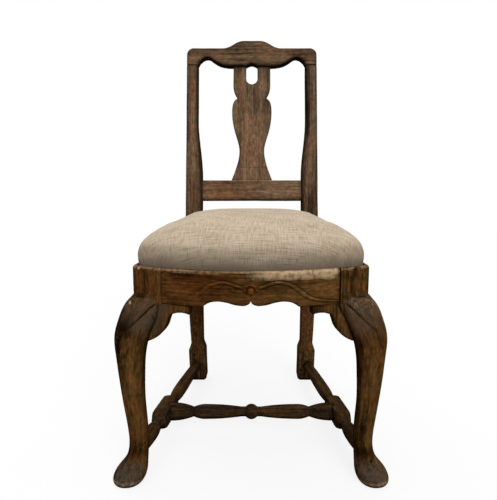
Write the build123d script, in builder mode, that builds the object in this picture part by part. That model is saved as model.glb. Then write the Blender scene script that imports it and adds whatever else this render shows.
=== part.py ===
from build123d import *
import os
from math import atan2, cos, sin, sqrt, tan

# A bow-fronted side chair: cabriole front legs, turned stretchers, a vase-shaped back splat
# and a loose upholstered seat that drops into a rebate in the seat rails.
# Millimetres, +Z up, the front of the chair towards -Y, the origin on the floor at the middle.

# Seat plan
half_front = 232.0  # outer faces of the seat at its front corners
half_rear = 179.0  # outer faces of the back posts
corner_y = -222.8  # where the bowed front meets the sides
post_y = 151.2  # front faces of the back posts at the seat
front_bow = 56.0  # the middle of the front rail stands this far before the corners
corner_round = 20.0

# Seat rails
rail_top = 428.0
rail_height = 68.0
rail_thickness = 28.0
lip_width = 10.0
lip_round = 6.0
rebate_depth = 16.0
rear_rail_depth = 38.0
rear_rail_forward = 24.0  # ledge of the rear rail before the posts
arch_reach = 90.0  # scalloped lower edge of the front rail, measured from the middle
arch_rise = 11.0
arch_lobe = 3.5
arch_crown = 62.0
arch_low = 16.0
arch_cusp = 13.0

# Joints
tenon_thickness = 10.0
tenon_length = 22.0
short_tenon = 17.0
tenon_shoulder = 7.0
joint_clearance = 0.15
touch = 1.0  # an edge nearer than this to a face is taken to lie on it
round_tenon = 16.0
peg_diameter = 8.0
peg_length = 26.0
peg_clearance = 0.1
small_peg = 6.0
peg_sides = 8  # shaved by hand

# Front legs
block_inner = 168.0  # inner faces of the corner blocks
block_depth = 44.0
block_drop = 3.0  # the blocks reach this far below the rails
leg_x = 197.0
leg_y = -207.8
knee_throw = 19.0  # how far a section stands out along the diagonal, in X and in Y
knee_width = 72.0
ankle_throw = 27.5
ankle_width = 38.0
foot_throw = 42.5
foot_width = 64.0
leg_flat = 1.0  # least half flat left on a rounded section

# Knee brackets
bracket_reach = 53.0
bracket_tip = 19.0
bracket_drop = 76.0
bracket_depth = 24.0
bracket_front = -251.8
bracket_skew = 0.16  # the front brackets turn with the bow
bracket_root = 12.0  # how far a bracket reaches under the knee at the top
side_bracket_proud = 5.0

# Rear legs and back posts, one piece each
lean = atan2(1, 5)  # one in five
lean_height = 430.0
lean_round = 160.0
post_width = 44.0
post_depth = 34.0
post_top_width = 31.0
post_top_depth = 28.0
swell_low = 577.0  # the posts narrow between these two heights
swell_high = 742.0
rake = 36.0
rake_height = 380.0
leg_inset_outer = 8.0
leg_inset_inner = 2.5
leg_neck_height = 118.0
foot_block_height = 98.0
foot_block_width = 47.0
foot_block_depth = 40.0
foot_block_inner = 131.0
foot_edge = 7.0
foot_block_proud = 4.0  # the block stands this far before the leg

# Back frame, heights measured along the lean from lean_height
crest_joint = 469.0  # where the crest rail sits on the posts
crest_end = 48.0  # the crest's ends above the joint, its middle above the ends
crest_rise = 21.0
crest_flat = 42.0
crest_fall = 82.0
crest_corner = 18.0
crest_thickness = 27.0
crest_arch_x = 126.0
crest_arch = 22.0  # the arches above the joint, the lobe between them below it
crest_dip = 2.0
crest_post_tenon = 18.0
crest_edge = 3.0
inner_round = 6.0  # rounding of the inner edges of the crest rail and the posts
joint_ease = 0.8
slot_width = 31.0
slot_depth = 48.0
slot_crown = 7.0
back_rail_low = 95.0
back_rail_rise = 55.0
back_rail_thickness = 22.0
back_rail_setback = 4.0
back_rail_edge = 3.0
splat_thickness = 11.0
splat_setback = 9.0
splat_top = 51.0  # half widths of the splat, from the top down
splat_notch = 39.0
splat_bowl = 54.5
splat_waist = 34.0
splat_base = 56.0
prong_drop = 50.0  # below the crest rail
notch_drop = 88.0
bowl_drop = 127.0
waist_rise = 81.0  # above the lower rail
splat_tenon = 10.0
splat_edge = 2.0
splat_bevel = 1.5

# Stretchers
stretcher_height = 51.0
stretcher_block = 92.0
stretcher_block_at = 155.0
stretcher_block_width = 33.0
stretcher_block_height = 36.0
stretcher_shoulder = 14.0  # length of the turned shoulders of the block
stretcher_swell = 31.0
rear_swell_at = 262.0
front_swell = 32.0
front_swell_at = 62.0
stretcher_neck = 22.0
stretcher_end = 25.0
medial_swell = 33.0
medial_swell_at = 108.0
medial_neck = 22.0
medial_neck_at = 133.0
medial_bead = 34.0
medial_bead_half = 13.0  # half length of the middle bead
medial_collar_at = 23.0
medial_bell = 40.0

# Loose seat
seat_fit = 1.0
seat_rest = 0.2
cover_thickness = 1.5
layer_gap = 0.3
cover_turn = 26.0
seat_frame_width = 48.0
seat_frame_thickness = 20.0
webbing_width = 52.0
webbing_thickness = 1.5
webbing_pitch = 98.0
hessian_thickness = 1.0
seat_round = 12.0
cushion_crown = 513.0

# Worked-out places
rail_bottom = rail_top - rail_height
ledge = rail_top - rebate_depth
bow_radius = (half_front**2 + front_bow**2) / (2 * front_bow)
bow_centre = corner_y - front_bow + bow_radius
side_slope = (half_front - half_rear) / (post_y - corner_y)
block_back = corner_y + block_depth
tenon_low = rail_bottom + tenon_shoulder
tenon_high = ledge - tenon_shoulder
tenon_height = tenon_high - tenon_low
tenon_mid = (tenon_low + tenon_high) / 2
peg_heights = (tenon_mid - tenon_height / 4, tenon_mid + tenon_height / 4)
post_inner = half_rear - post_width
post_top_inner = half_rear - post_top_width
crest_shoulder = crest_joint + crest_end
crest_top = crest_shoulder + crest_rise
crest_hang = crest_joint - crest_dip
slot_bottom = crest_hang - slot_depth
back_rail_high = back_rail_low + back_rail_rise
back_rail_mid = back_rail_low + back_rail_rise / 2
back_plane = Plane((0, post_y, lean_height), x_dir=(1, 0, 0), z_dir=(0, -cos(lean), sin(lean)))


def side_x(y, inset=0.0):
    """X of the right side of the seat's plan at y, drawn in by inset."""
    return half_front - side_slope * (y - corner_y) - inset * sqrt(1 + side_slope**2)


def front_corner(inset):
    """Right front corner of the plan, where the inset side meets the inset bow."""
    radius = bow_radius - inset
    reach = side_x(0, inset)
    a = 1 + side_slope**2
    b = reach * side_slope + bow_centre
    c = reach**2 + bow_centre**2 - radius**2
    y = (b - sqrt(b**2 - a * c)) / a
    return side_x(y, inset), y


def seat_plan(height, inset, front_round=0.0, rear_round=0.0):
    """Face of the seat's plan at a height, drawn in by inset all round."""
    fx, fy = front_corner(inset)
    ry = post_y - inset
    rx = side_x(ry, inset)
    with BuildSketch(Plane.XY.offset(height)) as plan:
        with BuildLine():
            ThreePointArc((-fx, fy), (0, bow_centre - bow_radius + inset), (fx, fy))
            Polyline((fx, fy), (rx, ry), (-rx, ry), (-fx, fy))
        make_face()
        if front_round:
            fillet(plan.vertices().group_by(Axis.Y)[0], front_round)
        if rear_round:
            fillet(plan.vertices().group_by(Axis.Y)[-1], rear_round)
    return plan.sketch


def rake_y(height):
    """Y of the front of a rear leg at a height below the seat."""
    return post_y + rake * (1 - height / rake_height) ** 2


def on_back(edge):
    """Whether an edge lies on the front plane of the leaning back."""
    return all(abs(back_plane.to_local_coords(edge @ end).Z) < joint_clearance for end in (0, 0.5, 1))


def along_back(edge):
    """Height of the middle of an edge, measured along the lean."""
    return back_plane.to_local_coords(edge.center()).Y


def block(x, y, z):
    """A plain cutting or keeping box between three pairs of limits."""
    box = Box(x[1] - x[0], y[1] - y[0], z[1] - z[0], align=Align.MIN, mode=Mode.PRIVATE)
    return Pos(x[0], y[0], z[0]) * box


def tenon(x, y, grow=0.0):
    """A rail's tenon between two pairs of limits, or its mortise when grown by a clearance."""
    span_x = (x[0] - grow, x[1] + grow)
    span_y = (y[0] - grow, y[1] + grow)
    return block(span_x, span_y, (tenon_low - grow, tenon_high + grow))


def on_left(right, label):
    """The left-hand twin of a right-hand piece."""
    with BuildPart() as twin:
        mirror(right, about=Plane.YZ)
    return finish(twin, label)


def finish(piece, label):
    """Label a finished piece and write it."""
    piece.part.label = label
    export_step(piece.part, f"parts/{label}.step")
    return piece.part


os.makedirs("parts", exist_ok=True)

# Places of the rail tenons, as pairs of limits
bow_at_block = bow_centre - sqrt(bow_radius**2 - block_inner**2)
front_tenon_x = (block_inner, block_inner + tenon_length)
front_tenon_y = (bow_at_block + lip_width, bow_at_block + lip_width + tenon_thickness)
side_mid_front = side_x(block_back, rail_thickness / 2)
side_tenon_x = (side_mid_front - tenon_thickness / 2, side_mid_front + tenon_thickness / 2)
side_tenon_y = (block_back - tenon_length, block_back)
side_mid_rear = side_x(post_y, rail_thickness / 2)
post_tenon_x = (side_mid_rear - tenon_thickness / 2, side_mid_rear + tenon_thickness / 2)
post_tenon_y = (post_y, post_y + tenon_length)
rear_rail_y = (post_y - rear_rail_forward, post_y - rear_rail_forward + rear_rail_depth)
rear_tenon_x = (post_inner, post_inner + short_tenon)
rear_tenon_y = (rear_rail_y[1] - tenon_thickness - lip_width / 4, rear_rail_y[1] - lip_width / 4)

# Plane on the outer face of the right side rail: along the rail, up, outwards
side_run = Vector(-side_slope, 1, 0).normalized()
side_out = Vector(side_run.Y, -side_run.X, 0)
side_plane = Plane((side_x(block_back), block_back, rail_bottom), x_dir=side_run, z_dir=side_out)


def leg_pegs(radius):
    """Pegs through the front tenon of the right side rail."""
    with BuildPart() as pegs:
        with BuildSketch(side_plane):
            for height in peg_heights:
                with Locations((-tenon_length / 2, height - rail_bottom)):
                    RegularPolygon(radius, peg_sides)
        extrude(amount=-peg_length)
    return pegs.part


def post_pegs(radius):
    """Pegs through the rear tenon of the right side rail."""
    with BuildPart() as pegs:
        with BuildSketch(Plane.YZ.offset(half_rear)):
            for height in peg_heights:
                with Locations((post_y + tenon_length / 2, height)):
                    RegularPolygon(radius, peg_sides)
        extrude(amount=-peg_length)
    return pegs.part


def rear_pegs(radius):
    """Pegs driven from behind through the right tenon of the rear rail."""
    with BuildPart() as pegs:
        with BuildSketch(Plane.XZ.offset(-post_y - post_depth)):
            for height in peg_heights:
                with Locations((post_inner + short_tenon / 2, height)):
                    RegularPolygon(radius, peg_sides)
        extrude(amount=post_y + post_depth - rear_tenon_y[0])
    return pegs.part


def crest_pegs(radius):
    """Peg driven from behind through the tenon on the right post into the crest rail."""
    with BuildPart() as pegs:
        with BuildSketch(back_plane.offset(-crest_thickness)):
            with Locations((half_rear - post_top_width / 2, crest_joint + crest_post_tenon / 2)):
                RegularPolygon(radius, peg_sides)
        extrude(amount=crest_thickness * 3 / 4)
    return pegs.part


peg_radius = peg_diameter / 2
peg_hole = peg_radius + peg_clearance
small_hole = small_peg / 2 + peg_clearance

# Stretcher axis, from the middle of the front ankle to the middle of the rear foot block
ankle = Vector(leg_x + ankle_throw, leg_y - ankle_throw, stretcher_height)
foot_mid_x = foot_block_inner + foot_block_width / 2
foot_mid_y = rake_y(stretcher_height) + foot_block_depth / 2
heel = Vector(foot_mid_x, foot_mid_y, stretcher_height)
stretcher_plane = Plane(ankle, x_dir=heel - ankle, z_dir=(0, 0, 1))
stretcher_length = (heel - ankle).length


# Front leg: corner block, knee, calf, ankle and pad foot
# each row: height, throw, width and corner radius of a section
# the knee and the calf hang from the rail, the ankle and the foot stand on the floor
knee_rows = (
    (8.0, 3.0, 60.0, 9.0),
    (-2.0, 9.0, 69.0, 14.0),
    (-29.0, knee_throw, knee_width, 18.0),
    (-60.0, 29.5, 65.0, 18.0),
    (-98.0, 34.0, 54.0, 17.0),
    (-145.0, 34.0, 47.0, 16.0),
    (-198.0, 32.0, 41.0, 15.5),
)
foot_rows = (
    (100.0, ankle_throw, ankle_width, 16.0),
    (62.0, ankle_throw, ankle_width, 17.5),
    (42.0, 31.0, 44.0, 20.0),
    (28.0, 37.0, 56.0, 26.0),
    (14.0, foot_throw, foot_width, 30.0),
    (3.2, 45.5, 57.0, 27.0),
    (0.0, 46.0, 49.0, 23.0),
)
leg_rows = [(rail_bottom + rise, *row) for rise, *row in knee_rows] + list(foot_rows)

with BuildPart() as front_leg:
    extrude(seat_plan(rail_bottom - block_drop, 0, corner_round), amount=rail_height + block_drop)
    keep = block((block_inner, half_front), (corner_y - front_bow, block_back), (0, rail_top))
    add(keep, mode=Mode.INTERSECT)
    top_edges = front_leg.edges().group_by(Axis.Z)[-1]
    outer_edges = top_edges.filter_by(lambda e: e.center().X > block_inner + touch)
    fillet(outer_edges.filter_by(lambda e: e.center().Y < block_back - touch), lip_round)
    for height, throw, width, corner in leg_rows:
        with BuildSketch(Plane((leg_x + throw, leg_y - throw, height))):
            RectangleRounded(width, width, min(corner, width / 2 - leg_flat))
    loft()
    extrude(seat_plan(ledge, lip_width, corner_round - lip_width), amount=rebate_depth, mode=Mode.SUBTRACT)
    add(tenon(front_tenon_x, front_tenon_y, joint_clearance), mode=Mode.SUBTRACT)
    add(tenon(side_tenon_x, side_tenon_y, joint_clearance), mode=Mode.SUBTRACT)
    add(leg_pegs(peg_hole), mode=Mode.SUBTRACT)
    with BuildSketch(Plane(ankle, z_dir=heel - ankle)):
        Circle(round_tenon / 2 + joint_clearance)
    extrude(amount=ankle_width, mode=Mode.SUBTRACT)
right_front_leg = finish(front_leg, "front_leg_right")
on_left(right_front_leg, "front_leg_left")

# Front rail: bowed in plan, scalloped below, rebated for the seat
with BuildPart() as front_rail:
    extrude(seat_plan(rail_bottom, 0), amount=rail_height)
    extrude(seat_plan(rail_bottom, rail_thickness), amount=rail_height, mode=Mode.SUBTRACT)
    keep = block((-block_inner, block_inner), (corner_y - front_bow, block_back), (0, rail_top))
    add(keep, mode=Mode.INTERSECT)
    fillet(front_rail.edges().group_by(Axis.Z)[-1].sort_by(Axis.Y)[0], lip_round)
    extrude(seat_plan(ledge, lip_width), amount=rebate_depth, mode=Mode.SUBTRACT)
    with BuildSketch(Plane.XZ):
        with BuildLine():
            Spline(
                (arch_reach, rail_bottom),
                (arch_crown, rail_bottom + arch_rise),
                (arch_low, rail_bottom + arch_lobe),
                tangents=[(-1, 1.6), (-1, 0)],
            )
            ThreePointArc(
                (arch_low, rail_bottom + arch_lobe),
                (arch_low * 0.4, rail_bottom + arch_cusp * 0.45),
                (0, rail_bottom + arch_cusp),
            )
            Polyline((0, rail_bottom + arch_cusp), (0, rail_bottom), (arch_reach, rail_bottom))
        make_face()
        mirror(about=Plane.YZ)
    extrude(amount=half_front * 2, both=True, mode=Mode.SUBTRACT)
    add(tenon(front_tenon_x, front_tenon_y))
    add(tenon((-front_tenon_x[1], -front_tenon_x[0]), front_tenon_y))
finish(front_rail, "front_rail")

# Side rails
with BuildPart() as side_rail:
    extrude(seat_plan(rail_bottom, 0), amount=rail_height)
    extrude(seat_plan(rail_bottom, rail_thickness), amount=rail_height, mode=Mode.SUBTRACT)
    add(block((post_inner, half_front), (block_back, post_y), (0, rail_top)), mode=Mode.INTERSECT)
    beyond = post_y - rail_thickness
    add(block((0, side_x(beyond, rail_thickness)), (beyond, post_y), (0, rail_top)), mode=Mode.SUBTRACT)
    fillet(side_rail.edges().group_by(Axis.Z)[-1].sort_by(Axis.X)[-1], lip_round)
    extrude(seat_plan(ledge, lip_width), amount=rebate_depth, mode=Mode.SUBTRACT)
    add(tenon(side_tenon_x, side_tenon_y))
    add(tenon(post_tenon_x, post_tenon_y))
    add(leg_pegs(peg_hole), mode=Mode.SUBTRACT)
    add(post_pegs(peg_hole), mode=Mode.SUBTRACT)
right_side_rail = finish(side_rail, "side_rail_right")
on_left(right_side_rail, "side_rail_left")

# Rear rail, with a ledge that stands before the posts
with BuildPart() as rear_rail:
    add(block((-post_inner, post_inner), rear_rail_y, (rail_bottom, rail_top)))
    extrude(seat_plan(ledge, lip_width), amount=rebate_depth, mode=Mode.SUBTRACT)
    add(tenon(rear_tenon_x, rear_tenon_y))
    add(tenon((-rear_tenon_x[1], -rear_tenon_x[0]), rear_tenon_y))
    add(rear_pegs(peg_hole), mode=Mode.SUBTRACT)
    add(mirror(rear_pegs(peg_hole), about=Plane.YZ, mode=Mode.PRIVATE), mode=Mode.SUBTRACT)
finish(rear_rail, "rear_rail")

# Back frame: tenons of the post into the crest rail and of the lower rail into the post
post_top_mid = half_rear - post_top_width / 2


def crest_tenon(grow=0.0):
    """Tenon on top of the right post, or its mortise when grown by a clearance."""
    with BuildPart() as stub:
        with BuildSketch(back_plane.offset(-(post_top_depth - tenon_thickness) / 2 + grow)):
            with Locations((post_top_mid, crest_joint)):
                Rectangle(
                    post_top_width / 2 + 2 * grow,
                    crest_post_tenon + grow,
                    align=(Align.CENTER, Align.MIN),
                )
        extrude(amount=-tenon_thickness - 2 * grow)
    return stub.part


def back_rail_tenon(grow=0.0):
    """Right tenon of the lower back rail, or its mortise when grown by a clearance."""
    setback = back_rail_setback + (back_rail_thickness - tenon_thickness) / 2
    with BuildPart() as stub:
        with BuildSketch(back_plane.offset(grow - setback)):
            with Locations((post_inner, back_rail_mid)):
                Rectangle(
                    short_tenon + grow,
                    back_rail_rise - 2 * tenon_shoulder + 2 * grow,
                    align=(Align.MIN, Align.CENTER),
                )
        extrude(amount=-tenon_thickness - 2 * grow)
    return stub.part


# Rear leg and back post in one piece: raked below the seat, leaning above it
lean_front = Vector(post_y, lean_height)
lean_way = Vector(sin(lean), cos(lean))
lean_normal = Vector(cos(lean), -sin(lean))
post_top = lean_front + lean_way * crest_joint
lean_rear = Vector(post_y + post_depth, lean_height - post_depth * tan(lean / 2))
leg_outer = half_rear - leg_inset_outer
leg_inner = post_inner + leg_inset_inner
foot_block_outer = foot_block_inner + foot_block_width

with BuildPart() as rear_leg:
    with BuildSketch(Plane.YZ) as side_view:
        with BuildLine():
            Line(post_top, lean_front)
            Line(lean_front, (post_y, rake_height))
            TangentArc((post_y, rake_height), (post_y + rake, 0), tangent=(0, -1))
            Line((post_y + rake, 0), (post_y + rake + foot_block_depth, 0))
            TangentArc(
                (post_y + post_depth, rake_height),
                (post_y + rake + foot_block_depth, 0),
                tangent=(0, -1),
            )
            Line((post_y + post_depth, rake_height), lean_rear)
            Line(lean_rear, post_top + lean_normal * post_top_depth)
            Line(post_top + lean_normal * post_top_depth, post_top)
        make_face()
        bends = side_view.vertices().filter_by(lambda v: abs(v.Z - lean_height) < post_depth / 4)
        fillet(bends, lean_round)
    extrude(amount=half_rear)
    with BuildSketch(Plane.YZ):
        with BuildLine():
            Polyline(
                (rake_y(0) - foot_block_proud + foot_edge, 0),
                (rake_y(foot_edge) - foot_block_proud, foot_edge),
                (rake_y(foot_block_height) - foot_block_proud, foot_block_height),
                (rake_y(leg_neck_height), leg_neck_height),
                (rake_y(leg_neck_height) + post_depth / 2, leg_neck_height),
                (rake_y(0) + post_depth / 2, 0),
                close=True,
            )
        make_face()
    extrude(amount=half_rear)
    with BuildSketch(Plane.XZ):
        with BuildLine():
            Polyline(
                (half_rear, lean_height + crest_joint),
                (half_rear, rail_bottom),
                (leg_outer, leg_neck_height),
                (foot_block_outer, foot_block_height),
                (foot_block_outer, foot_edge),
                (foot_block_outer - foot_edge, 0),
                (foot_block_inner + foot_edge, 0),
                (foot_block_inner, foot_edge),
                (foot_block_inner, foot_block_height),
                (leg_inner, leg_neck_height),
                (post_inner, rail_bottom),
                (post_inner, swell_low),
            )
            Spline((post_inner, swell_low), (post_top_inner, swell_high), tangents=[(0, 1), (0, 1)])
            Polyline(
                (post_top_inner, swell_high),
                (post_top_inner, lean_height + crest_joint),
                (half_rear, lean_height + crest_joint),
            )
        make_face()
    extrude(amount=half_front * 2, both=True, mode=Mode.INTERSECT)
    front_edges = rear_leg.edges().filter_by(on_back)
    inner_edges = front_edges.filter_by(lambda e: e.center().X < post_top_inner + touch)
    fillet(inner_edges.filter_by(lambda e: e.center().Z > swell_low), inner_round)
    chamfer(rear_leg.faces().sort_by(Axis.Z)[-1].edges(), joint_ease)
    add(crest_tenon())
    add(back_rail_tenon(joint_clearance), mode=Mode.SUBTRACT)
    add(tenon(post_tenon_x, post_tenon_y, joint_clearance), mode=Mode.SUBTRACT)
    add(tenon(rear_tenon_x, rear_tenon_y, joint_clearance), mode=Mode.SUBTRACT)
    add(post_pegs(peg_hole), mode=Mode.SUBTRACT)
    add(rear_pegs(peg_hole), mode=Mode.SUBTRACT)
    add(crest_pegs(small_hole), mode=Mode.SUBTRACT)
    with BuildSketch(Plane(heel, z_dir=ankle - heel)):
        Circle(round_tenon / 2 + joint_clearance)
    extrude(amount=foot_block_depth, mode=Mode.SUBTRACT)
right_rear_leg = finish(rear_leg, "rear_leg_right")
on_left(right_rear_leg, "rear_leg_left")

# Crest rail
with BuildPart() as crest_rail:
    with BuildSketch(back_plane) as crest_outline:
        with BuildLine():
            Line((0, crest_top), (crest_flat / 2, crest_top))
            Spline(
                (crest_flat / 2, crest_top),
                (crest_fall, crest_shoulder),
                tangents=[(1, 0), (1, 0)],
            )
            Polyline(
                (crest_fall, crest_shoulder),
                (half_rear, crest_shoulder),
                (half_rear, crest_joint),
                (post_top_inner, crest_joint),
            )
            Spline(
                (post_top_inner, crest_joint),
                (crest_arch_x, crest_joint + crest_arch),
                (splat_top, crest_hang),
                tangents=[(-0.3, 1), (-1, 0)],
            )
            Line((splat_top, crest_hang), (slot_width / 2, crest_hang))
            ThreePointArc(
                (slot_width / 2, crest_hang),
                (slot_width / 4, crest_hang + slot_crown * 3 / 4),
                (0, crest_hang + slot_crown),
            )
            Line((0, crest_hang + slot_crown), (0, crest_top))
        make_face()
        corner = crest_outline.vertices().sort_by(Axis.X)[-2:].sort_by(Axis.Y)[-1]
        fillet(corner, crest_corner)
        mirror(about=Plane.YZ)
    extrude(amount=-crest_thickness)
    front_edges = crest_rail.edges().filter_by(on_back)
    upper = front_edges.filter_by(lambda e: along_back(e) > crest_joint + crest_arch)
    lower = front_edges.filter_by(lambda e: abs(e.center().X) < post_top_inner)
    fillet(upper, crest_edge)
    fillet([e for e in lower if e not in upper], inner_round)
    mortise = crest_tenon(joint_clearance) + crest_pegs(small_hole)
    add(mortise, mode=Mode.SUBTRACT)
    add(mirror(mortise, about=Plane.YZ, mode=Mode.PRIVATE), mode=Mode.SUBTRACT)
    with BuildSketch(back_plane.offset(joint_clearance - splat_setback)):
        for side in (-1, 1):
            middle = side * (splat_top + slot_width / 2) / 2
            with Locations((middle, crest_hang)):
                Rectangle(
                    splat_top - slot_width / 2 - 2 * splat_edge,
                    2 * (splat_tenon + joint_clearance),
                )
    extrude(amount=-splat_thickness - 2 * joint_clearance, mode=Mode.SUBTRACT)
finish(crest_rail, "crest_rail")

# Lower back rail
with BuildPart() as lower_back_rail:
    with BuildSketch(back_plane.offset(-back_rail_setback)):
        with Locations((0, back_rail_mid)):
            Rectangle(2 * post_inner, back_rail_rise)
    extrude(amount=-back_rail_thickness)
    front = lower_back_rail.faces().sort_by(Axis.Y)[0]
    fillet(front.edges().filter_by(Axis.X), back_rail_edge)
    add(back_rail_tenon())
    add(mirror(back_rail_tenon(), about=Plane.YZ, mode=Mode.PRIVATE))
    with BuildSketch(back_plane.offset(joint_clearance - splat_setback)):
        with Locations((0, back_rail_high)):
            Rectangle(2 * splat_waist + 2 * joint_clearance, 2 * (splat_tenon + joint_clearance))
    extrude(amount=-splat_thickness - 2 * joint_clearance, mode=Mode.SUBTRACT)
finish(lower_back_rail, "lower_back_rail")

# Splat: a vase outline with a slot open to the crest rail
with BuildPart() as splat:
    with BuildSketch(back_plane.offset(-splat_setback)):
        with BuildLine():
            Line((0, crest_hang), (splat_top, crest_hang))
            Line((splat_top, crest_hang), (splat_top, crest_hang - prong_drop))
            Spline(
                (splat_top, crest_hang - prong_drop),
                (splat_notch, crest_hang - notch_drop),
                tangents=[(0, -1), (-0.8, -1)],
            )
            Spline(
                (splat_notch, crest_hang - notch_drop),
                (splat_bowl, crest_hang - bowl_drop),
                tangents=[(1, -0.35), (0, -1)],
            )
            Spline(
                (splat_bowl, crest_hang - bowl_drop),
                (splat_waist, back_rail_high + waist_rise),
                (splat_base, back_rail_high),
                tangents=[(0, -1), (0.4, -1)],
            )
            Polyline((splat_base, back_rail_high), (0, back_rail_high), (0, crest_hang))
        make_face()
        mirror(about=Plane.YZ)
        with Locations((0, slot_bottom + slot_width / 2)):
            Circle(slot_width / 2, mode=Mode.SUBTRACT)
            Rectangle(
                slot_width,
                crest_hang - slot_bottom,
                align=(Align.CENTER, Align.MIN),
                mode=Mode.SUBTRACT,
            )
        with Locations((0, back_rail_high)):
            Rectangle(2 * splat_waist, splat_tenon, align=(Align.CENTER, Align.MAX))
        for side in (-1, 1):
            with Locations((side * (splat_top + slot_width / 2) / 2, crest_hang)):
                Rectangle(
                    splat_top - slot_width / 2 - 2 * splat_edge - 2 * joint_clearance,
                    splat_tenon,
                    align=(Align.CENTER, Align.MIN),
                )
    extrude(amount=-splat_thickness)
    front_edges = splat.faces().sort_by(Axis((0, 0, 0), back_plane.z_dir))[-1].edges()
    outline = front_edges.filter_by(lambda e: back_rail_high + touch < along_back(e) < crest_hang - touch)
    chamfer(outline, splat_bevel)
finish(splat, "splat")

# Side stretchers: two turned vases with a square block between them for the medial stretcher
block_start = stretcher_block_at - stretcher_block / 2
block_end = stretcher_block_at + stretcher_block / 2
front_neck_at = block_start - stretcher_neck / 2
rear_neck_at = block_end + stretcher_neck / 2
collar = stretcher_block_width / 2
block_corner = sqrt(stretcher_block_width**2 + stretcher_block_height**2) / 2
front_shoulder = ankle_width / 4
rear_shoulder = stretcher_length - foot_block_depth / 4
stretcher_axis = Axis(ankle, heel - ankle)

with BuildPart() as side_stretcher:
    with BuildSketch(stretcher_plane.offset(-stretcher_block_height / 2)):
        with Locations((stretcher_block_at, 0)):
            Rectangle(stretcher_block, stretcher_block_width)
    extrude(amount=stretcher_block_height)
    with BuildSketch(stretcher_plane):
        with BuildLine():
            Line((block_start, 0), (block_start, collar))
            TangentArc(
                (block_start + stretcher_shoulder, block_corner),
                (block_start, collar),
                tangent=(-1, 0),
            )
            Line(
                (block_start + stretcher_shoulder, block_corner),
                (block_end - stretcher_shoulder, block_corner),
            )
            TangentArc(
                (block_end - stretcher_shoulder, block_corner),
                (block_end, collar),
                tangent=(1, 0),
            )
            Polyline((block_end, collar), (block_end, 0), (block_start, 0))
        make_face()
    revolve(axis=stretcher_axis, mode=Mode.INTERSECT)
    with BuildSketch(stretcher_plane):
        with BuildLine():
            Polyline(
                (block_start, 0),
                (0, 0),
                (0, round_tenon / 2),
                (front_shoulder, round_tenon / 2),
                (front_shoulder, stretcher_end / 2),
            )
            TangentArc(
                (front_swell_at, front_swell / 2),
                (front_shoulder, stretcher_end / 2),
                tangent=(-1, 0),
            )
            TangentArc(
                (front_swell_at, front_swell / 2),
                (front_neck_at, stretcher_neck / 2),
                tangent=(1, 0),
            )
            Line((front_neck_at, stretcher_neck / 2), (block_start, collar))
            Line((block_start, collar), (block_start, 0))
        make_face()
        with BuildLine():
            Line((block_end, 0), (block_end, collar))
            Line((block_end, collar), (rear_neck_at, stretcher_neck / 2))
            TangentArc(
                (rear_swell_at, stretcher_swell / 2),
                (rear_neck_at, stretcher_neck / 2),
                tangent=(-1, 0),
            )
            TangentArc(
                (rear_swell_at, stretcher_swell / 2),
                (rear_shoulder, stretcher_neck / 2),
                tangent=(1, 0),
            )
            Polyline(
                (rear_shoulder, stretcher_neck / 2),
                (rear_shoulder, round_tenon / 2),
                (stretcher_length, round_tenon / 2),
                (stretcher_length, 0),
                (block_end, 0),
            )
        make_face()
    revolve(axis=stretcher_axis)
    add(right_front_leg, mode=Mode.SUBTRACT)
    add(right_rear_leg, mode=Mode.SUBTRACT)
    joint = ankle + (heel - ankle).normalized() * stretcher_block_at
    with BuildSketch(Plane(joint, z_dir=(-1, 0, 0))):
        Circle(round_tenon / 2 + joint_clearance)
    extrude(amount=stretcher_block_width, mode=Mode.SUBTRACT)
right_side_stretcher = finish(side_stretcher, "side_stretcher_right")
left_side_stretcher = on_left(right_side_stretcher, "side_stretcher_left")

# Medial stretcher: bell ends, two tapering vases and a middle bead
bell_start = joint.X - stretcher_block_width / 2
with BuildPart() as medial_stretcher:
    with BuildSketch(Plane((0, joint.Y, joint.Z))):
        with BuildLine():
            TangentArc(
                (0, medial_bead / 2),
                (medial_bead_half, medial_neck / 2),
                tangent=(1, 0),
            )
            Line((medial_bead_half, medial_neck / 2), (medial_collar_at, medial_neck / 2))
            TangentArc(
                (medial_swell_at, medial_swell / 2),
                (medial_collar_at, medial_neck / 2),
                tangent=(-1, 0),
            )
            TangentArc(
                (medial_swell_at, medial_swell / 2),
                (medial_neck_at, medial_neck / 2),
                tangent=(1, 0),
            )
            TangentArc(
                (bell_start, medial_bell / 2),
                (medial_neck_at, medial_neck / 2),
                tangent=(-1, 0),
            )
            Polyline(
                (bell_start, medial_bell / 2),
                (joint.X - round_tenon / 2, medial_bell / 2),
                (joint.X - round_tenon / 2, 0),
                (0, 0),
                (0, medial_bead / 2),
            )
        make_face()
        mirror(about=Plane.YZ)
    revolve(axis=Axis((0, joint.Y, joint.Z), (1, 0, 0)))
    add(right_side_stretcher, mode=Mode.SUBTRACT)
    add(left_side_stretcher, mode=Mode.SUBTRACT)
finish(medial_stretcher, "medial_stretcher")


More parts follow.
